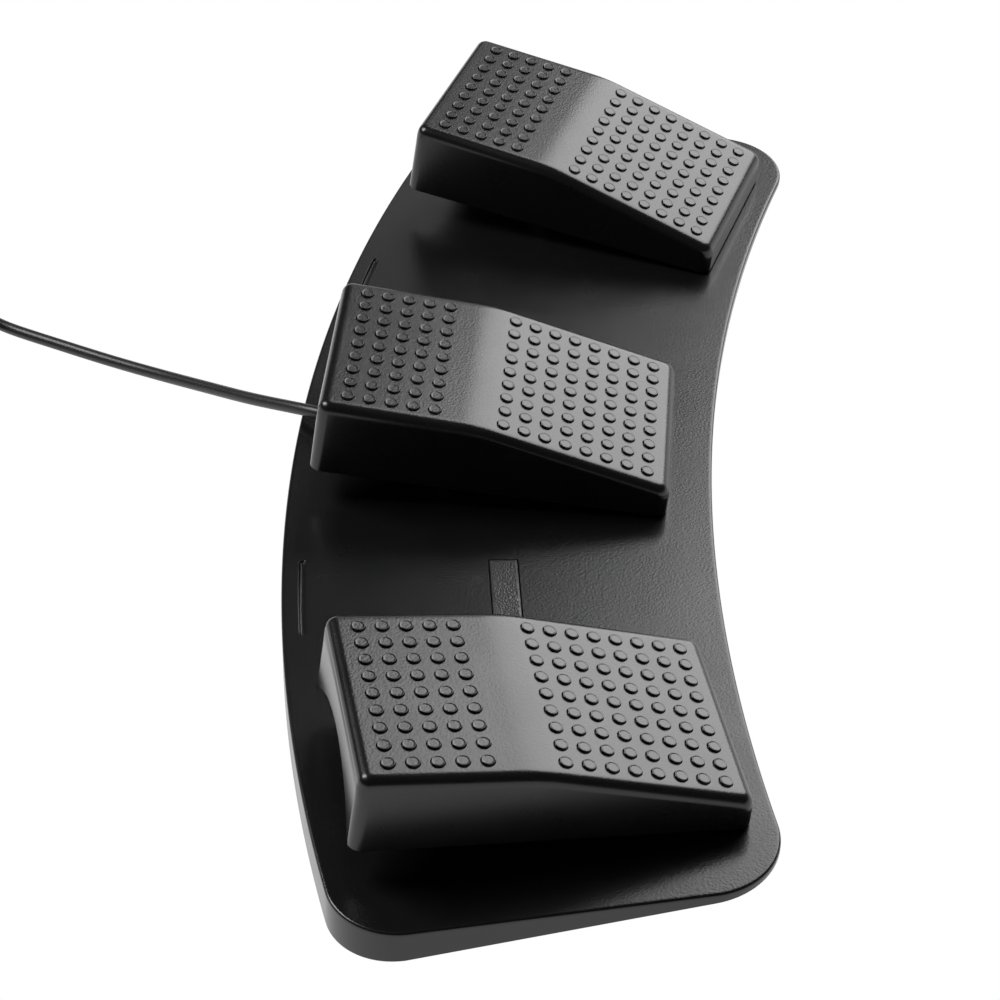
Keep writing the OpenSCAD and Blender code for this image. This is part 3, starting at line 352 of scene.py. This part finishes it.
plated_steel = metal("plated_steel", (0.72, 0.73, 0.75), 0.22)
gilt = metal("gilt", (0.75, 0.55, 0.2), 0.3)
finish_nodes(cable_black, "usb_plug_grip", "cable_grommet", "cable_tail", "cable_tie")
finish_nodes(plated_steel, "usb_plug_shell")
finish_nodes(finish("insert_white", (0.8, 0.8, 0.78), 0.5), "usb_plug_insert")
finish_nodes(gilt, "usb_plug_contacts")
finish_nodes(finish("wire_red", (0.4, 0.03, 0.02), 0.4), "cable_conductors")

# Base shell
# One black ABS moulding: a wedge with a curved fan outline, a flat deck, rounded edges and two short grooves
# near the rear edge. It stands on the bottom plate's feet, and the hinge ears, spring seats, switch webs and
# the cable's hood rise from it.
deck_x, deck_z = -12.2986, 9.46956
stations = ((-1, "left"), (0, "centre"), (1, "right"))
fan_forward, fan_spread, fan_turn = 15.5, 108.7, math.radians(14.9)
fan_axis = np.array([math.cos(fan_turn), -math.sin(fan_turn)])
fan_side = np.array([math.sin(fan_turn), math.cos(fan_turn)])
rear_edge_r, front_edge_r = 447.5, 464.0
rear_reach, front_reach = 44.4, 54.0
rear_centre, front_centre = rear_edge_r - rear_reach, front_reach + front_edge_r
end_margin, rear_corner_r, front_corner_r = 41.0, 15.0, 17.0
rear_steps, front_steps, corner_steps = 90, 60, 24


def arc(centre, r, start, end, steps):
    """Points on a circle from one angle to another, in radians, without the last."""
    a = np.linspace(start, end, steps, endpoint=False)[:, None]
    return np.asarray(centre) + r * np.hstack([np.cos(a), np.sin(a)])


def corner_centre(circle_x, reach, margin):
    """Centre of a corner round that touches the end edge and a long edge's circle."""
    p = np.array([fan_forward - circle_x, fan_spread]) + fan_side * margin
    b = p @ fan_axis
    return p - fan_axis * (b + math.sqrt(b * b - p @ p + reach * reach)) + [circle_x, 0]


def base_outline(inset=0.0, front_inset=0.0):
    """Outline of the base on the deck: two long arcs, two end edges and four rounds, drawn in by inset, and
    at the front edge by front_inset more."""
    rear_r, front_r = rear_corner_r - inset, front_corner_r - inset
    rear_arc_r, front_arc_r = rear_edge_r - inset, front_edge_r + inset + front_inset
    rear = corner_centre(rear_centre, rear_arc_r - rear_r, end_margin - inset - rear_r)
    front = corner_centre(front_centre, front_arc_r + front_r, end_margin - inset - front_r)
    rear_end = math.atan2(rear[1], rear_centre - rear[0])
    front_end = math.atan2(front[1], front_centre - front[0])
    half = np.vstack([
        arc([rear_centre, 0], rear_arc_r, math.pi, math.pi - rear_end, rear_steps),
        arc(rear, rear_r, math.pi - rear_end, math.pi / 2 - fan_turn, corner_steps),
        arc(front, front_r, math.pi / 2 - fan_turn, -front_end, corner_steps),
        arc([front_centre, 0], front_arc_r, math.pi - front_end, math.pi, front_steps),
        [[front_centre - front_arc_r, 0]]])
    return np.vstack([half, (half * [1, -1])[-2:0:-1]])


def tilted(p, angle):
    """Points turned about the cross axis, front down, by an angle in radians."""
    p = np.asarray(p, float)
    c, s = math.cos(angle), math.sin(angle)
    x, y, z = p[..., 0], p[..., 1], p[..., 2]
    return np.stack([x * c + z * s, y, -x * s + z * c], axis=-1)


def from_deck(p):
    """Points in the deck frame, in millimetres, to the part's frame in metres."""
    return (tilted(p, deck_tilt) + [deck_x, 0, deck_z]) / 1000


def from_station(p, side):
    """Points in a pedal's station on the deck, in millimetres, to the part's frame in metres. The station's
    side is -1, 0 or 1."""
    p = np.asarray(p, float)
    c, s = math.cos(fan_turn * side), -math.sin(fan_turn * side)
    x, y, z = p[..., 0], p[..., 1], p[..., 2]
    deck_forward = abs(side) * fan_forward + x * c - y * s
    deck_across = side * fan_spread + x * s + y * c
    return from_deck(np.stack([deck_forward, deck_across, z], axis=-1))


def to_floor_height(ring, floor_z):
    """Moves a ring in the deck frame along the deck's normal to a height over the floor."""
    z = (floor_z - deck_z + ring[:, 0] * math.sin(deck_tilt)) / math.cos(deck_tilt)
    return np.hstack([ring, z[:, None]])


def joined(parts):
    """Points and faces of several meshes as one."""
    points, faces, first = [], [], 0
    for p, f in parts:
        points.append(np.asarray(p, float).reshape(-1, 3))
        faces += [[i + first for i in face] for face in f]
        first += len(points[-1])
    return np.vstack(points), faces


def flat_ring(ring, z):
    """A ring of plan points at one height."""
    return np.hstack([ring, np.full((len(ring), 1), float(z))])


def flat_fill(outlines):
    """Points and triangles at height 0 between an outer outline of plan points and the holes in it."""
    inside_only, merge_within = 1, 1e-4
    ends = np.cumsum([len(outline) for outline in outlines])
    rings = [list(range(end - len(outline), end)) for outline, end in zip(outlines, ends)]
    for outline, ring in zip(outlines, rings):
        x, y = outline.T
        if np.sum(x * np.roll(y, -1) - y * np.roll(x, -1)) < 0:
            ring.reverse()
    plan = [Vector(p) for p in np.vstack(outlines)]
    points, _, faces, _, _, owners = delaunay_2d_cdt(plan, [], rings, inside_only, merge_within)
    between = [face for face, owner in zip(faces, owners) if owner == [0]]
    return flat_ring(np.array(points), 0), between


def block(x, y, z):
    """A box between two values of each coordinate."""
    plan = np.array([(x[0], y[0]), (x[1], y[0]), (x[1], y[1]), (x[0], y[1])])
    return skin([flat_ring(plan, z[0]), flat_ring(plan, z[1])])


def circle(r, count=40, at=(0, 0)):
    """A circle of plan points."""
    return arc(at, r, 0, 2 * math.pi, count)


# The hinge pin's place in a station, forward of the pedal's bend and over the deck
hinge_fwd, hinge_up, pin_r, pin_play = 35.9855, 4.5, 1.5, 0.05
eye_steps = 40


def eye(at, r, root):
    """Outline and hole, in x and z, of an eye round the hinge pin: half a circle of radius r, and a block as
    wide as the circle that ends at the height root over the pin, or under it where root is negative."""
    turn = np.linspace(0, 2 * math.pi, eye_steps, endpoint=False)
    way = np.stack([np.cos(turn), np.sin(turn)], axis=1)
    across, along, least = abs(way[:, 0]), way[:, 1] * np.sign(root), 1e-6
    square = np.minimum(r / np.maximum(across, least), abs(root) / np.maximum(along, least))
    reach = np.where(along < 0, r, square)
    return way * reach[:, None] + at, way * (pin_r + pin_play) + at


def bored(outline, hole, y0, y1):
    """A plate with a hole, its outline and hole of equal count in x and z, from y0 to y1."""
    walls = ((outline, y0), (outline, y1), (hole, y1), (hole, y0), (outline, y0))
    return skin([np.insert(ring, 1, y, axis=1) for ring, y in walls], False, False)


spring_x, spring_foot, spring_d = -6.0, 0.6, 8.0
ear_r, ear_y, ear_t = 2.8, 12.6, 4.0
cup_r, cup_wall, cup_h = 4.75, 1.5, 2.5
peg_r, peg_h = 2.75, 7.0
web_x, web_y, web_h = (-18.9, 0.9), (15.25, 17.75), 7
hood_x, hood_y, hood_h = (-33, -13.6), (-3.5, 5.5), 7.6
fitting_sunk = 0.5


def deck_fittings(side):
    """Hinge ears, spring seat with its peg and the switch's web, sunk a little into the deck."""
    ear = eye((hinge_fwd, hinge_up), ear_r, -hinge_up - fitting_sunk)
    cup_out = cup_r + cup_wall
    cup = [(cup_out, -fitting_sunk), (cup_out, cup_h), (cup_r, cup_h), (cup_r, spring_foot),
           (peg_r, spring_foot), (peg_r, peg_h)]
    points, faces = joined([
        bored(*ear, ear_y, ear_y + ear_t),
        bored(*ear, -ear_y - ear_t, -ear_y),
        skin([flat_ring(circle(r, at=(spring_x, 0)), z) for r, z in cup]),
        block(web_x, web_y, (-fitting_sunk, web_h))])
    return from_station(points, side), faces


groove_half, groove_lip, groove_deep, groove_taper = 0.85, 0.15, 0.5, 0.2
groove_in, groove_near, groove_far = 4.6, 48.4, 71.6
groove_steps, groove_end_steps, groove_rows = 20, 8, 9
groove_r = rear_edge_r - groove_in
groove_from = math.pi - math.asin(groove_near / groove_r)
groove_to = math.pi - math.asin(groove_far / groove_r)


def groove(half, side):
    """Outline of a groove at one half width: two arcs of the rear edge's circle, joined by round ends."""
    centre = np.array([rear_centre, 0])
    ends = [centre + groove_r * np.array([math.cos(a), math.sin(a)]) for a in (groove_from, groove_to)]
    ring = np.vstack([arc(centre, groove_r + half, groove_from, groove_to, groove_steps),
                      arc(ends[1], half, groove_to, groove_to - math.pi, groove_end_steps),
                      arc(centre, groove_r - half, groove_to, groove_from, groove_steps),
                      arc(ends[0], half, groove_from + math.pi, groove_from, groove_end_steps)])
    return ring * [1, side]


def groove_channel(side):
    """A groove's wall and floor: its depth follows half a cosine wave, and it narrows as it goes down."""
    rings = [flat_ring(groove(groove_half + groove_lip, side), 0)]
    for a in np.linspace(0, math.pi, groove_rows):
        half = groove_half * (1 - groove_taper * a)
        rings.append(flat_ring(groove(half, side), groove_deep * (math.cos(a) - 1) / 2))
    return skin(rings, False, True)


strip_half, strip_at, strip_turn = np.array([14.1, 3.25]), np.array([9.5, -57]), math.radians(97.4)
strip_sunk, strip_groove = 0.5, 0.2


def strip_outline(inset):
    """The strip's rectangle on the deck, drawn in by inset."""
    c, s = math.cos(strip_turn), math.sin(strip_turn)
    square = (strip_half - inset) * [(1, 1), (-1, 1), (-1, -1), (1, -1)]
    return square @ np.array([(c, s), (-s, c)]) + strip_at


foot_h, plate_t = 1.5, 1.2
edge_round, edge_rows, lower_round, deck_rim = 0.6, 7, 0.5, 0.4
rebate_inset, rebate_front_inset = 1.5, 17.9
rings = [flat_ring(base_outline(edge_round + deck_rim), 0)]
for a in np.linspace(0, math.pi / 2, edge_rows):
    rings.append(flat_ring(base_outline(edge_round * (1 - math.sin(a))), edge_round * (math.cos(a) - 1)))
rings.append(flat_ring(base_outline(), -edge_round - deck_rim))
rings.append(to_floor_height(base_outline(), foot_h + lower_round))
rings.append(to_floor_height(base_outline(lower_round), foot_h))
rings.append(to_floor_height(base_outline(rebate_inset, rebate_front_inset), foot_h))
rings.append(to_floor_height(base_outline(rebate_inset, rebate_front_inset), foot_h + plate_t))
strip_edge = strip_outline(-strip_groove)
groove_edges = [groove(groove_half + groove_lip, side) for side in (1, -1)]
points, faces = joined([
    skin(rings, False, True),
    flat_fill([rings[0][:, :2], *groove_edges, strip_edge]),
    skin([flat_ring(strip_edge, 0), flat_ring(strip_outline(0), -strip_sunk)], False, True),
    groove_channel(1),
    groove_channel(-1),
    block(hood_x, hood_y, (-fitting_sunk, hood_h))])
base_parts = [(from_deck(points), faces)] + [deck_fittings(side) for side, word in stations]
abs_black = (0.006, 0.0061, 0.0063)
base_black = finish("base_black", abs_black, 0.24, grain_size=0.0005, grain_depth=0.000022,
                    top_roughness=0.26)
base = add_piece("base", *joined(base_parts), base_black)
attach(base, "base")
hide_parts("base_shell")

# Deck strip
# A plain grainy plastic strip, glued into a shallow recess of the deck between the left and centre pedals.
# Its side and the recess make a narrow groove round it, and its edge slopes up to a flat top.
strip_step, strip_proud, slope_w = 0.12, 0.28, 0.45
strip_profile = [(0, -strip_sunk), (strip_groove, strip_step), (strip_groove + slope_w, strip_proud)]
points, faces = skin([flat_ring(strip_outline(inset), z) for inset, z in strip_profile])
strip_grain = finish("strip_grain", (0.03, 0.03, 0.0305), 0.34, grain_size=0.0004, grain_depth=0.00015,
                     drift=1.0, drift_size=0.0004)
strip_plate = add_piece("strip_plate", from_deck(points), faces, strip_grain, crease=10)
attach(strip_plate, "base")
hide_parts("deck_strip")

# Controller board
# A small glass-fibre board, held by four screws under the deck, carries the controller chip and its crystal
# in a plated can. They keep their solids and only take a finish.
steel = metal("bright_steel", (0.6, 0.61, 0.63), 0.28)
switch_black = finish("switch_black", (0.02, 0.02, 0.021), 0.4)
finish_nodes(finish("board_green", (0.02, 0.12, 0.05), 0.4), "controller_board")
finish_nodes(switch_black, "controller_chip")
finish_nodes(plated_steel, "crystal_can")
finish_nodes(steel, "board_screws")

# Hinge pins, springs and switches
# Under each pedal: a steel hinge pin, a steel compression spring on its peg, and a snap switch with a
# sheet-steel lever over a red plunger, screwed to its web. The spring is drawn at its rest length and does
# not shorten as the pedal goes down. The pins and the switches keep their solids and only take a finish.
spring_wire, spring_turns, spring_top, spring_keep = 0.9, 7, 17.35, 0.72
spring_end, spring_steps, spring_sides = 0.5, 24, 10
plunger_red = finish("plunger_red", (0.35, 0.02, 0.015), 0.35)
wire_grey = finish("wire_grey", (0.2, 0.2, 0.21), 0.45)
wind = np.linspace(0, 2 * math.pi * spring_turns, spring_turns * spring_steps)
rise = np.linspace(spring_foot + spring_end, spring_top - spring_end, len(wind))
helix = np.stack([spring_x + spring_d / 2 * np.cos(wind), spring_d / 2 * np.sin(wind), rise], axis=1)
for side, word in stations:
    spring_mesh = tube(from_station(helix, side), spring_wire / 1000, spring_sides)
    spring = add_piece(f"spring_{word}", *spring_mesh, steel)
    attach(spring, "base")
    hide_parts(f"return_spring_{word}")
    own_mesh(spring)
    finish_nodes(steel, f"hinge_pin_{word}", f"switch_lever_{word}", f"switch_screws_{word}")
    finish_nodes(switch_black, f"switch_case_{word}")
    finish_nodes(gilt, f"switch_terminals_{word}")
    finish_nodes(plunger_red, f"switch_plunger_{word}")
    finish_nodes(wire_grey, f"switch_leads_{word}")

# Pedals
# Each pedal is one satin black ABS cap: a rear facet and a ramp that meet in a soft bend, both covered with
# round studs. It has rounded edges, deep skirts and an arch cut in the rear wall, and it turns on the steel
# pin through its lugs.
rear_len, ramp_len, pedal_half = 36.4, 45.4, 25.0
rear_h, bend_h, front_h = 19.3, 18.0, 7.55
rear_lean, front_lean = 0.8, 0.2
skirt_t, top_t = 2.0, 2.2
corner_r, edge_r, bend_r = 2.7, 2.4, 41.0
corner_lines, edge_lines, ceiling_lines = 15, 10, 20
bend_from, bend_to, bend_lines = -7.5, 3.2, 12
rear_slope, ramp_slope = math.atan2(rear_h - bend_h, rear_len), math.atan2(bend_h - front_h, ramp_len)
stud_pitch, tile_half = 5.0, 1.9
first_rear_stud, rear_rows = -10.2, 5
first_ramp_stud, ramp_rows = 5.8, 8
side_columns = 4
rear_studs = first_rear_stud - stud_pitch * np.arange(rear_rows)
ramp_studs = first_ramp_stud + stud_pitch * np.arange(ramp_rows)
stud_columns = stud_pitch * np.arange(-side_columns, side_columns + 1)


def top_height(x):
    """Height of the top over the skirt's foot: two straight facets joined by a round of radius bend_r."""
    half = (ramp_slope - rear_slope) / 2
    reach = bend_r * math.tan(half)
    mean = (ramp_slope + rear_slope) / 2
    lift = bend_r / math.cos(half)
    centre_x, centre_z = -lift * math.sin(mean), bend_h - lift * math.cos(mean)
    facets = bend_h - np.where(x < 0, x * math.tan(rear_slope), x * math.tan(ramp_slope))
    bend = centre_z + np.sqrt(np.maximum(bend_r**2 - (x - centre_x) ** 2, 0))
    inside = (x > -reach * math.cos(rear_slope)) & (x < reach * math.cos(ramp_slope))
    return np.where(inside, bend, facets)


def tile_lines(centres):
    """The two sides of each stud's tile, in order."""
    return np.sort(np.concatenate([centres - tile_half, centres + tile_half]))


def cap_grid(inset, fillet):
    """Top of the cap as a grid: rows across the pedal from rear to front, drawn in by inset. The rows follow
    the rounded plan, and the height falls along a quarter round within fillet of the edge."""
    r = corner_r - inset
    rear, front, half = -rear_len + inset, ramp_len - inset, pedal_half - inset
    turn = np.linspace(0, math.pi / 2, corner_lines)
    dip, flare = r * (1 - np.cos(turn)), r * np.sin(turn)
    middle = np.concatenate([tile_lines(rear_studs) * math.cos(rear_slope),
                             np.linspace(bend_from, bend_to, bend_lines),
                             tile_lines(ramp_studs) * math.cos(ramp_slope)])
    x = np.concatenate([rear + dip, middle, (front - dip)[::-1]])
    w = np.concatenate([half - r + flare, np.full(len(middle), half), (half - r + flare)[::-1]])
    edge = edge_r * (1 - np.cos(np.linspace(0, math.pi / 2, edge_lines)))
    between = half + tile_lines(stud_columns)
    if inset:
        between = np.linspace(edge_r, 2 * half - edge_r, ceiling_lines)[1:-1]
    across = np.concatenate([edge, between, 2 * half - edge[::-1]]) / half - 1
    grid_x = np.repeat(x[:, None], len(across), axis=1)
    grid_y = w[:, None] * across
    past_x = abs(grid_x - (rear + front) / 2) - ((front - rear) / 2 - r)
    past_y = abs(grid_y) - (half - r)
    corner = (past_x > 0) & (past_y > 0)
    depth = r - np.where(corner, np.hypot(past_x, past_y), np.maximum(past_x, past_y))
    drop = np.zeros_like(depth)
    if fillet:
        near = np.clip(fillet - depth, 0, fillet)
        drop = fillet - np.sqrt(np.maximum(fillet**2 - near**2, 0))
    return np.stack([grid_x, grid_y, top_height(grid_x) - (top_t if inset else 0) - drop], axis=-1)


def grid_faces(rows, columns):
    """Quads of a grid of points stored row by row."""
    a = (np.arange(rows - 1)[:, None] * columns + np.arange(columns - 1)).reshape(-1)
    return np.stack([a, a + 1, a + columns + 1, a + columns], axis=1).tolist()


def rim(grid):
    """The grid's border as one loop."""
    return np.vstack([grid[0, :-1], grid[:-1, -1], grid[-1, :0:-1], grid[:0:-1, 0]])


arch_half, arch_rise = 21.8, 9.4
arch_r = (arch_half**2 + arch_rise**2) / (2 * arch_rise)


def skirt_foot(loop):
    """Height of the skirt's lower edge: zero, and the arch's circle in the rear wall."""
    arch = arch_rise - arch_r + np.sqrt(np.maximum(arch_r**2 - loop[:, 1] ** 2, 0))
    in_arch = (loop[:, 0] < -rear_len + corner_r) & (abs(loop[:, 1]) < arch_half)
    return np.where(in_arch, np.maximum(arch, 0), 0)


def skirt_ring(loop, z):
    """The loop at new heights, leaning out towards the foot at the rear and the front."""
    at_rear = loop[:, 0] < 0
    lean = np.where(at_rear, -rear_lean * (rear_h - z) / rear_h, front_lean * (front_h - z) / front_h)
    share = np.clip(np.where(at_rear, -loop[:, 0] / rear_len, loop[:, 0] / ramp_len), 0, 1)
    return np.stack([loop[:, 0] + lean * share, loop[:, 1], z], axis=1)


foot_ease, foot_draw = 0.25, np.array([0.996, 0.992, 1])
outer_rows = (0.02, 0.2, 0.4, 0.6, 0.8, 0.95, 1)
inner_rows = (0, 0.5, 0.98)


def skirt(top, ceiling):
    """Rings from the rim of the top down the outside, over the eased foot and up the inside to the rim of the
    ceiling. The rows are shares of the way down and of the way up."""
    outer, inner = rim(top), rim(ceiling)
    foot, inner_foot = skirt_foot(outer), skirt_foot(inner)
    fall, climb = foot + foot_ease - outer[:, 2], inner[:, 2] - inner_foot
    rings = [outer]
    rings += [skirt_ring(outer, outer[:, 2] + fall * share) for share in outer_rows]
    rings.append(skirt_ring(outer * foot_draw, foot))
    rings += [skirt_ring(inner, inner_foot + climb * share) for share in inner_rows]
    rings.append(inner)
    return skin(rings, False, False)


stud_r, stud_h, stud_rim, stud_dish, stud_draft = 1.47, 0.46, 0.13, 0.07, 0.03
level_share, stud_hub, stud_sides, rim_rows = 0.7, 0.4, 32, 5
# Distances outside the stud of the plain tile, the fine groove's lip and its lowest line, then two depths:
# the groove's own and that of the foot of the stud's wall
plain_out, fine_out, fine_low, fine_deep, wall_foot = 0.2, 0.14, 0.03, 0.16, 0.1
slope_ease, slope_drop, level_ease = 0.04, 0.006, 0.06


def stud(at, tilt):
    """A square tile of a facet with a round stud: a fine groove round it, a steep wall, a rim rounded by
    stud_rim, a slope that falls inwards by stud_dish and a level middle."""
    turn = np.linspace(0, math.pi / 2, rim_rows)
    slope_r, level_r, level_z = stud_r - stud_draft - stud_rim, level_share * stud_r, stud_h - stud_dish
    fine_groove = [(stud_r + plain_out, 0), (stud_r + fine_out, 0), (stud_r + fine_low, -fine_deep),
                   (stud_r, -wall_foot)]
    rim_round = zip(slope_r + stud_rim * np.cos(turn), stud_h - stud_rim + stud_rim * np.sin(turn))
    dish = [(slope_r - slope_ease, stud_h - slope_drop), (level_r + slope_ease, level_z + slope_drop),
            (level_r, level_z), (level_r - level_ease, level_z), (stud_hub, level_z)]
    profile = [*fine_groove, *rim_round, *dish]
    points, faces = skin([flat_ring(circle(r, stud_sides), z) for r, z in profile], False, True)
    first, quarter = len(points), stud_sides // 4
    corners = tile_half * np.array([(1, 1), (-1, 1), (-1, -1), (1, -1)])
    for k in range(4):
        start = quarter * k
        faces += [[first + k, (start + i + 1) % stud_sides, start + i] for i in range(quarter)]
        faces.append([first + k, first + (k + 1) % 4, (start + quarter) % stud_sides])
    points = np.vstack([points, flat_ring(corners, 0)]) + [*at, 0]
    return tilted(points, tilt) + [0, 0, bend_h], faces


rib_y, rib_half, rib_deep, rib_sunk = 8, 0.8, 3, 0.3
rib_gap, rib_share, rib_steps = 1, 0.6, 30


def rib(y):
    """A rib along the ceiling, whose upper edge follows the top."""
    x = np.linspace(-rear_len + rib_gap, rib_share * ramp_len, rib_steps)
    roof = top_height(x) - top_t + rib_sunk
    section = [(-rib_half, 0), (rib_half, 0), (rib_half, rib_deep), (-rib_half, rib_deep)]
    edges = [np.stack([x, np.full(rib_steps, y + side), roof - low], axis=1) for side, low in section]
    return skin(np.stack(edges, axis=1))


# The hinge pin's place in the pedal frame, and how far the pedal is turned up at rest
hinge_x, hinge_z, rest_tilt = 37.4, 3.4, math.radians(5)
lug_r, lug_y, lug_t, lug_root = 3.2, 17, 3, 3.6


def pedal_cap():
    """The cap in the pedal frame: the top with its studs, the ceiling, the skirt, the lugs and the ribs. The
    top's grid has no face where a stud's tile lies."""
    top, ceiling = cap_grid(0, edge_r), cap_grid(skirt_t, 0)
    tiles = [((x, y), slope) for studs, slope in ((rear_studs, rear_slope), (ramp_studs, ramp_slope))
             for x in studs for y in stud_columns]
    places = np.array([(x * math.cos(slope), y) for (x, y), slope in tiles])
    top_points, top_faces = top.reshape(-1, 3), np.array(grid_faces(*top.shape[:2]))
    middles = top_points[top_faces].mean(axis=1)[:, :2]
    same_place = 0.5
    plain = np.linalg.norm(middles[:, None] - places, axis=2).min(axis=1) > same_place
    lug = eye((hinge_x, hinge_z), lug_r, lug_root)
    parts = [(top_points, top_faces[plain].tolist()),
             (ceiling.reshape(-1, 3), grid_faces(*ceiling.shape[:2])),
             skirt(top, ceiling)]
    parts += [stud(at, slope) for at, slope in tiles]
    parts += [bored(*lug, lug_y, lug_y + lug_t), bored(*lug, -lug_y - lug_t, -lug_y)]
    parts += [rib(-rib_y), rib(rib_y)]
    return joined(parts)


def from_pedal(p):
    """Points in the pedal frame to its station, with the pedal up."""
    return tilted(p - [hinge_x, 0, hinge_z], rest_tilt) + [hinge_fwd, 0, hinge_up]


boss_r, boss_h, boss_hub = 5.45, 4.3, 0.4
boss_ease, boss_ease_h = 0.05, 0.2
touch_x, touch_z = -15.0, 17.575
tip_r, tip_top, tip_y, tip_steps = 1, 22.6, (9.5, 14.5), 12


def under_fittings():
    """Spring boss, a round stack of rings, and switch tip, a bar with a round lower edge, in the station."""
    boss = [(boss_hub, 0), (boss_r - boss_ease, 0), (boss_r, boss_ease_h), (boss_r, boss_h),
            (boss_hub, boss_h)]
    spring_boss = skin([flat_ring(circle(r, at=(spring_x, 0)), z + spring_top) for r, z in boss])
    tip_round = arc([touch_x, touch_z], tip_r, math.pi, 2 * math.pi, tip_steps)
    tip_sides = [(touch_x + tip_r, touch_z), (touch_x + tip_r, tip_top), (touch_x - tip_r, tip_top)]
    section = np.vstack([tip_round, tip_sides])
    tip = skin([np.insert(section, 1, y, axis=1) for y in tip_y])
    return joined([spring_boss, tip])


pedal_black = finish("pedal_black", abs_black, 0.28, grain_size=0.0005, grain_depth=0.000028,
                     top_roughness=0.25, rear_roughness=0.1)
cap_points, cap_faces = pedal_cap()
pedal_points, pedal_faces = joined([(from_pedal(cap_points), cap_faces), under_fittings()])
for side, word in stations:
    pedal = add_piece(f"pedal_cap_{word}", from_station(pedal_points, side), pedal_faces, pedal_black)
    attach(pedal, f"{word}_pedal")
    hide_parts(f"pedal_{word}")

# Bottom plate, screws and feet
# A flat black plastic plate closes the base from below, held by eight blackened steel screws. Round rubber
# feet are glued to it. All keep their solids and only take a finish.
plate_black = finish("plate_black", (0.02, 0.02, 0.021), 0.5, grain_size=0.0006, grain_depth=0.00003)
finish_nodes(plate_black, "bottom_plate")
finish_nodes(finish("foot_rubber", (0.025, 0.025, 0.025), 0.75, grain_depth=0.00003), "rubber_feet")
finish_nodes(metal("dark_steel", (0.12, 0.12, 0.125), 0.4), "bottom_screws")
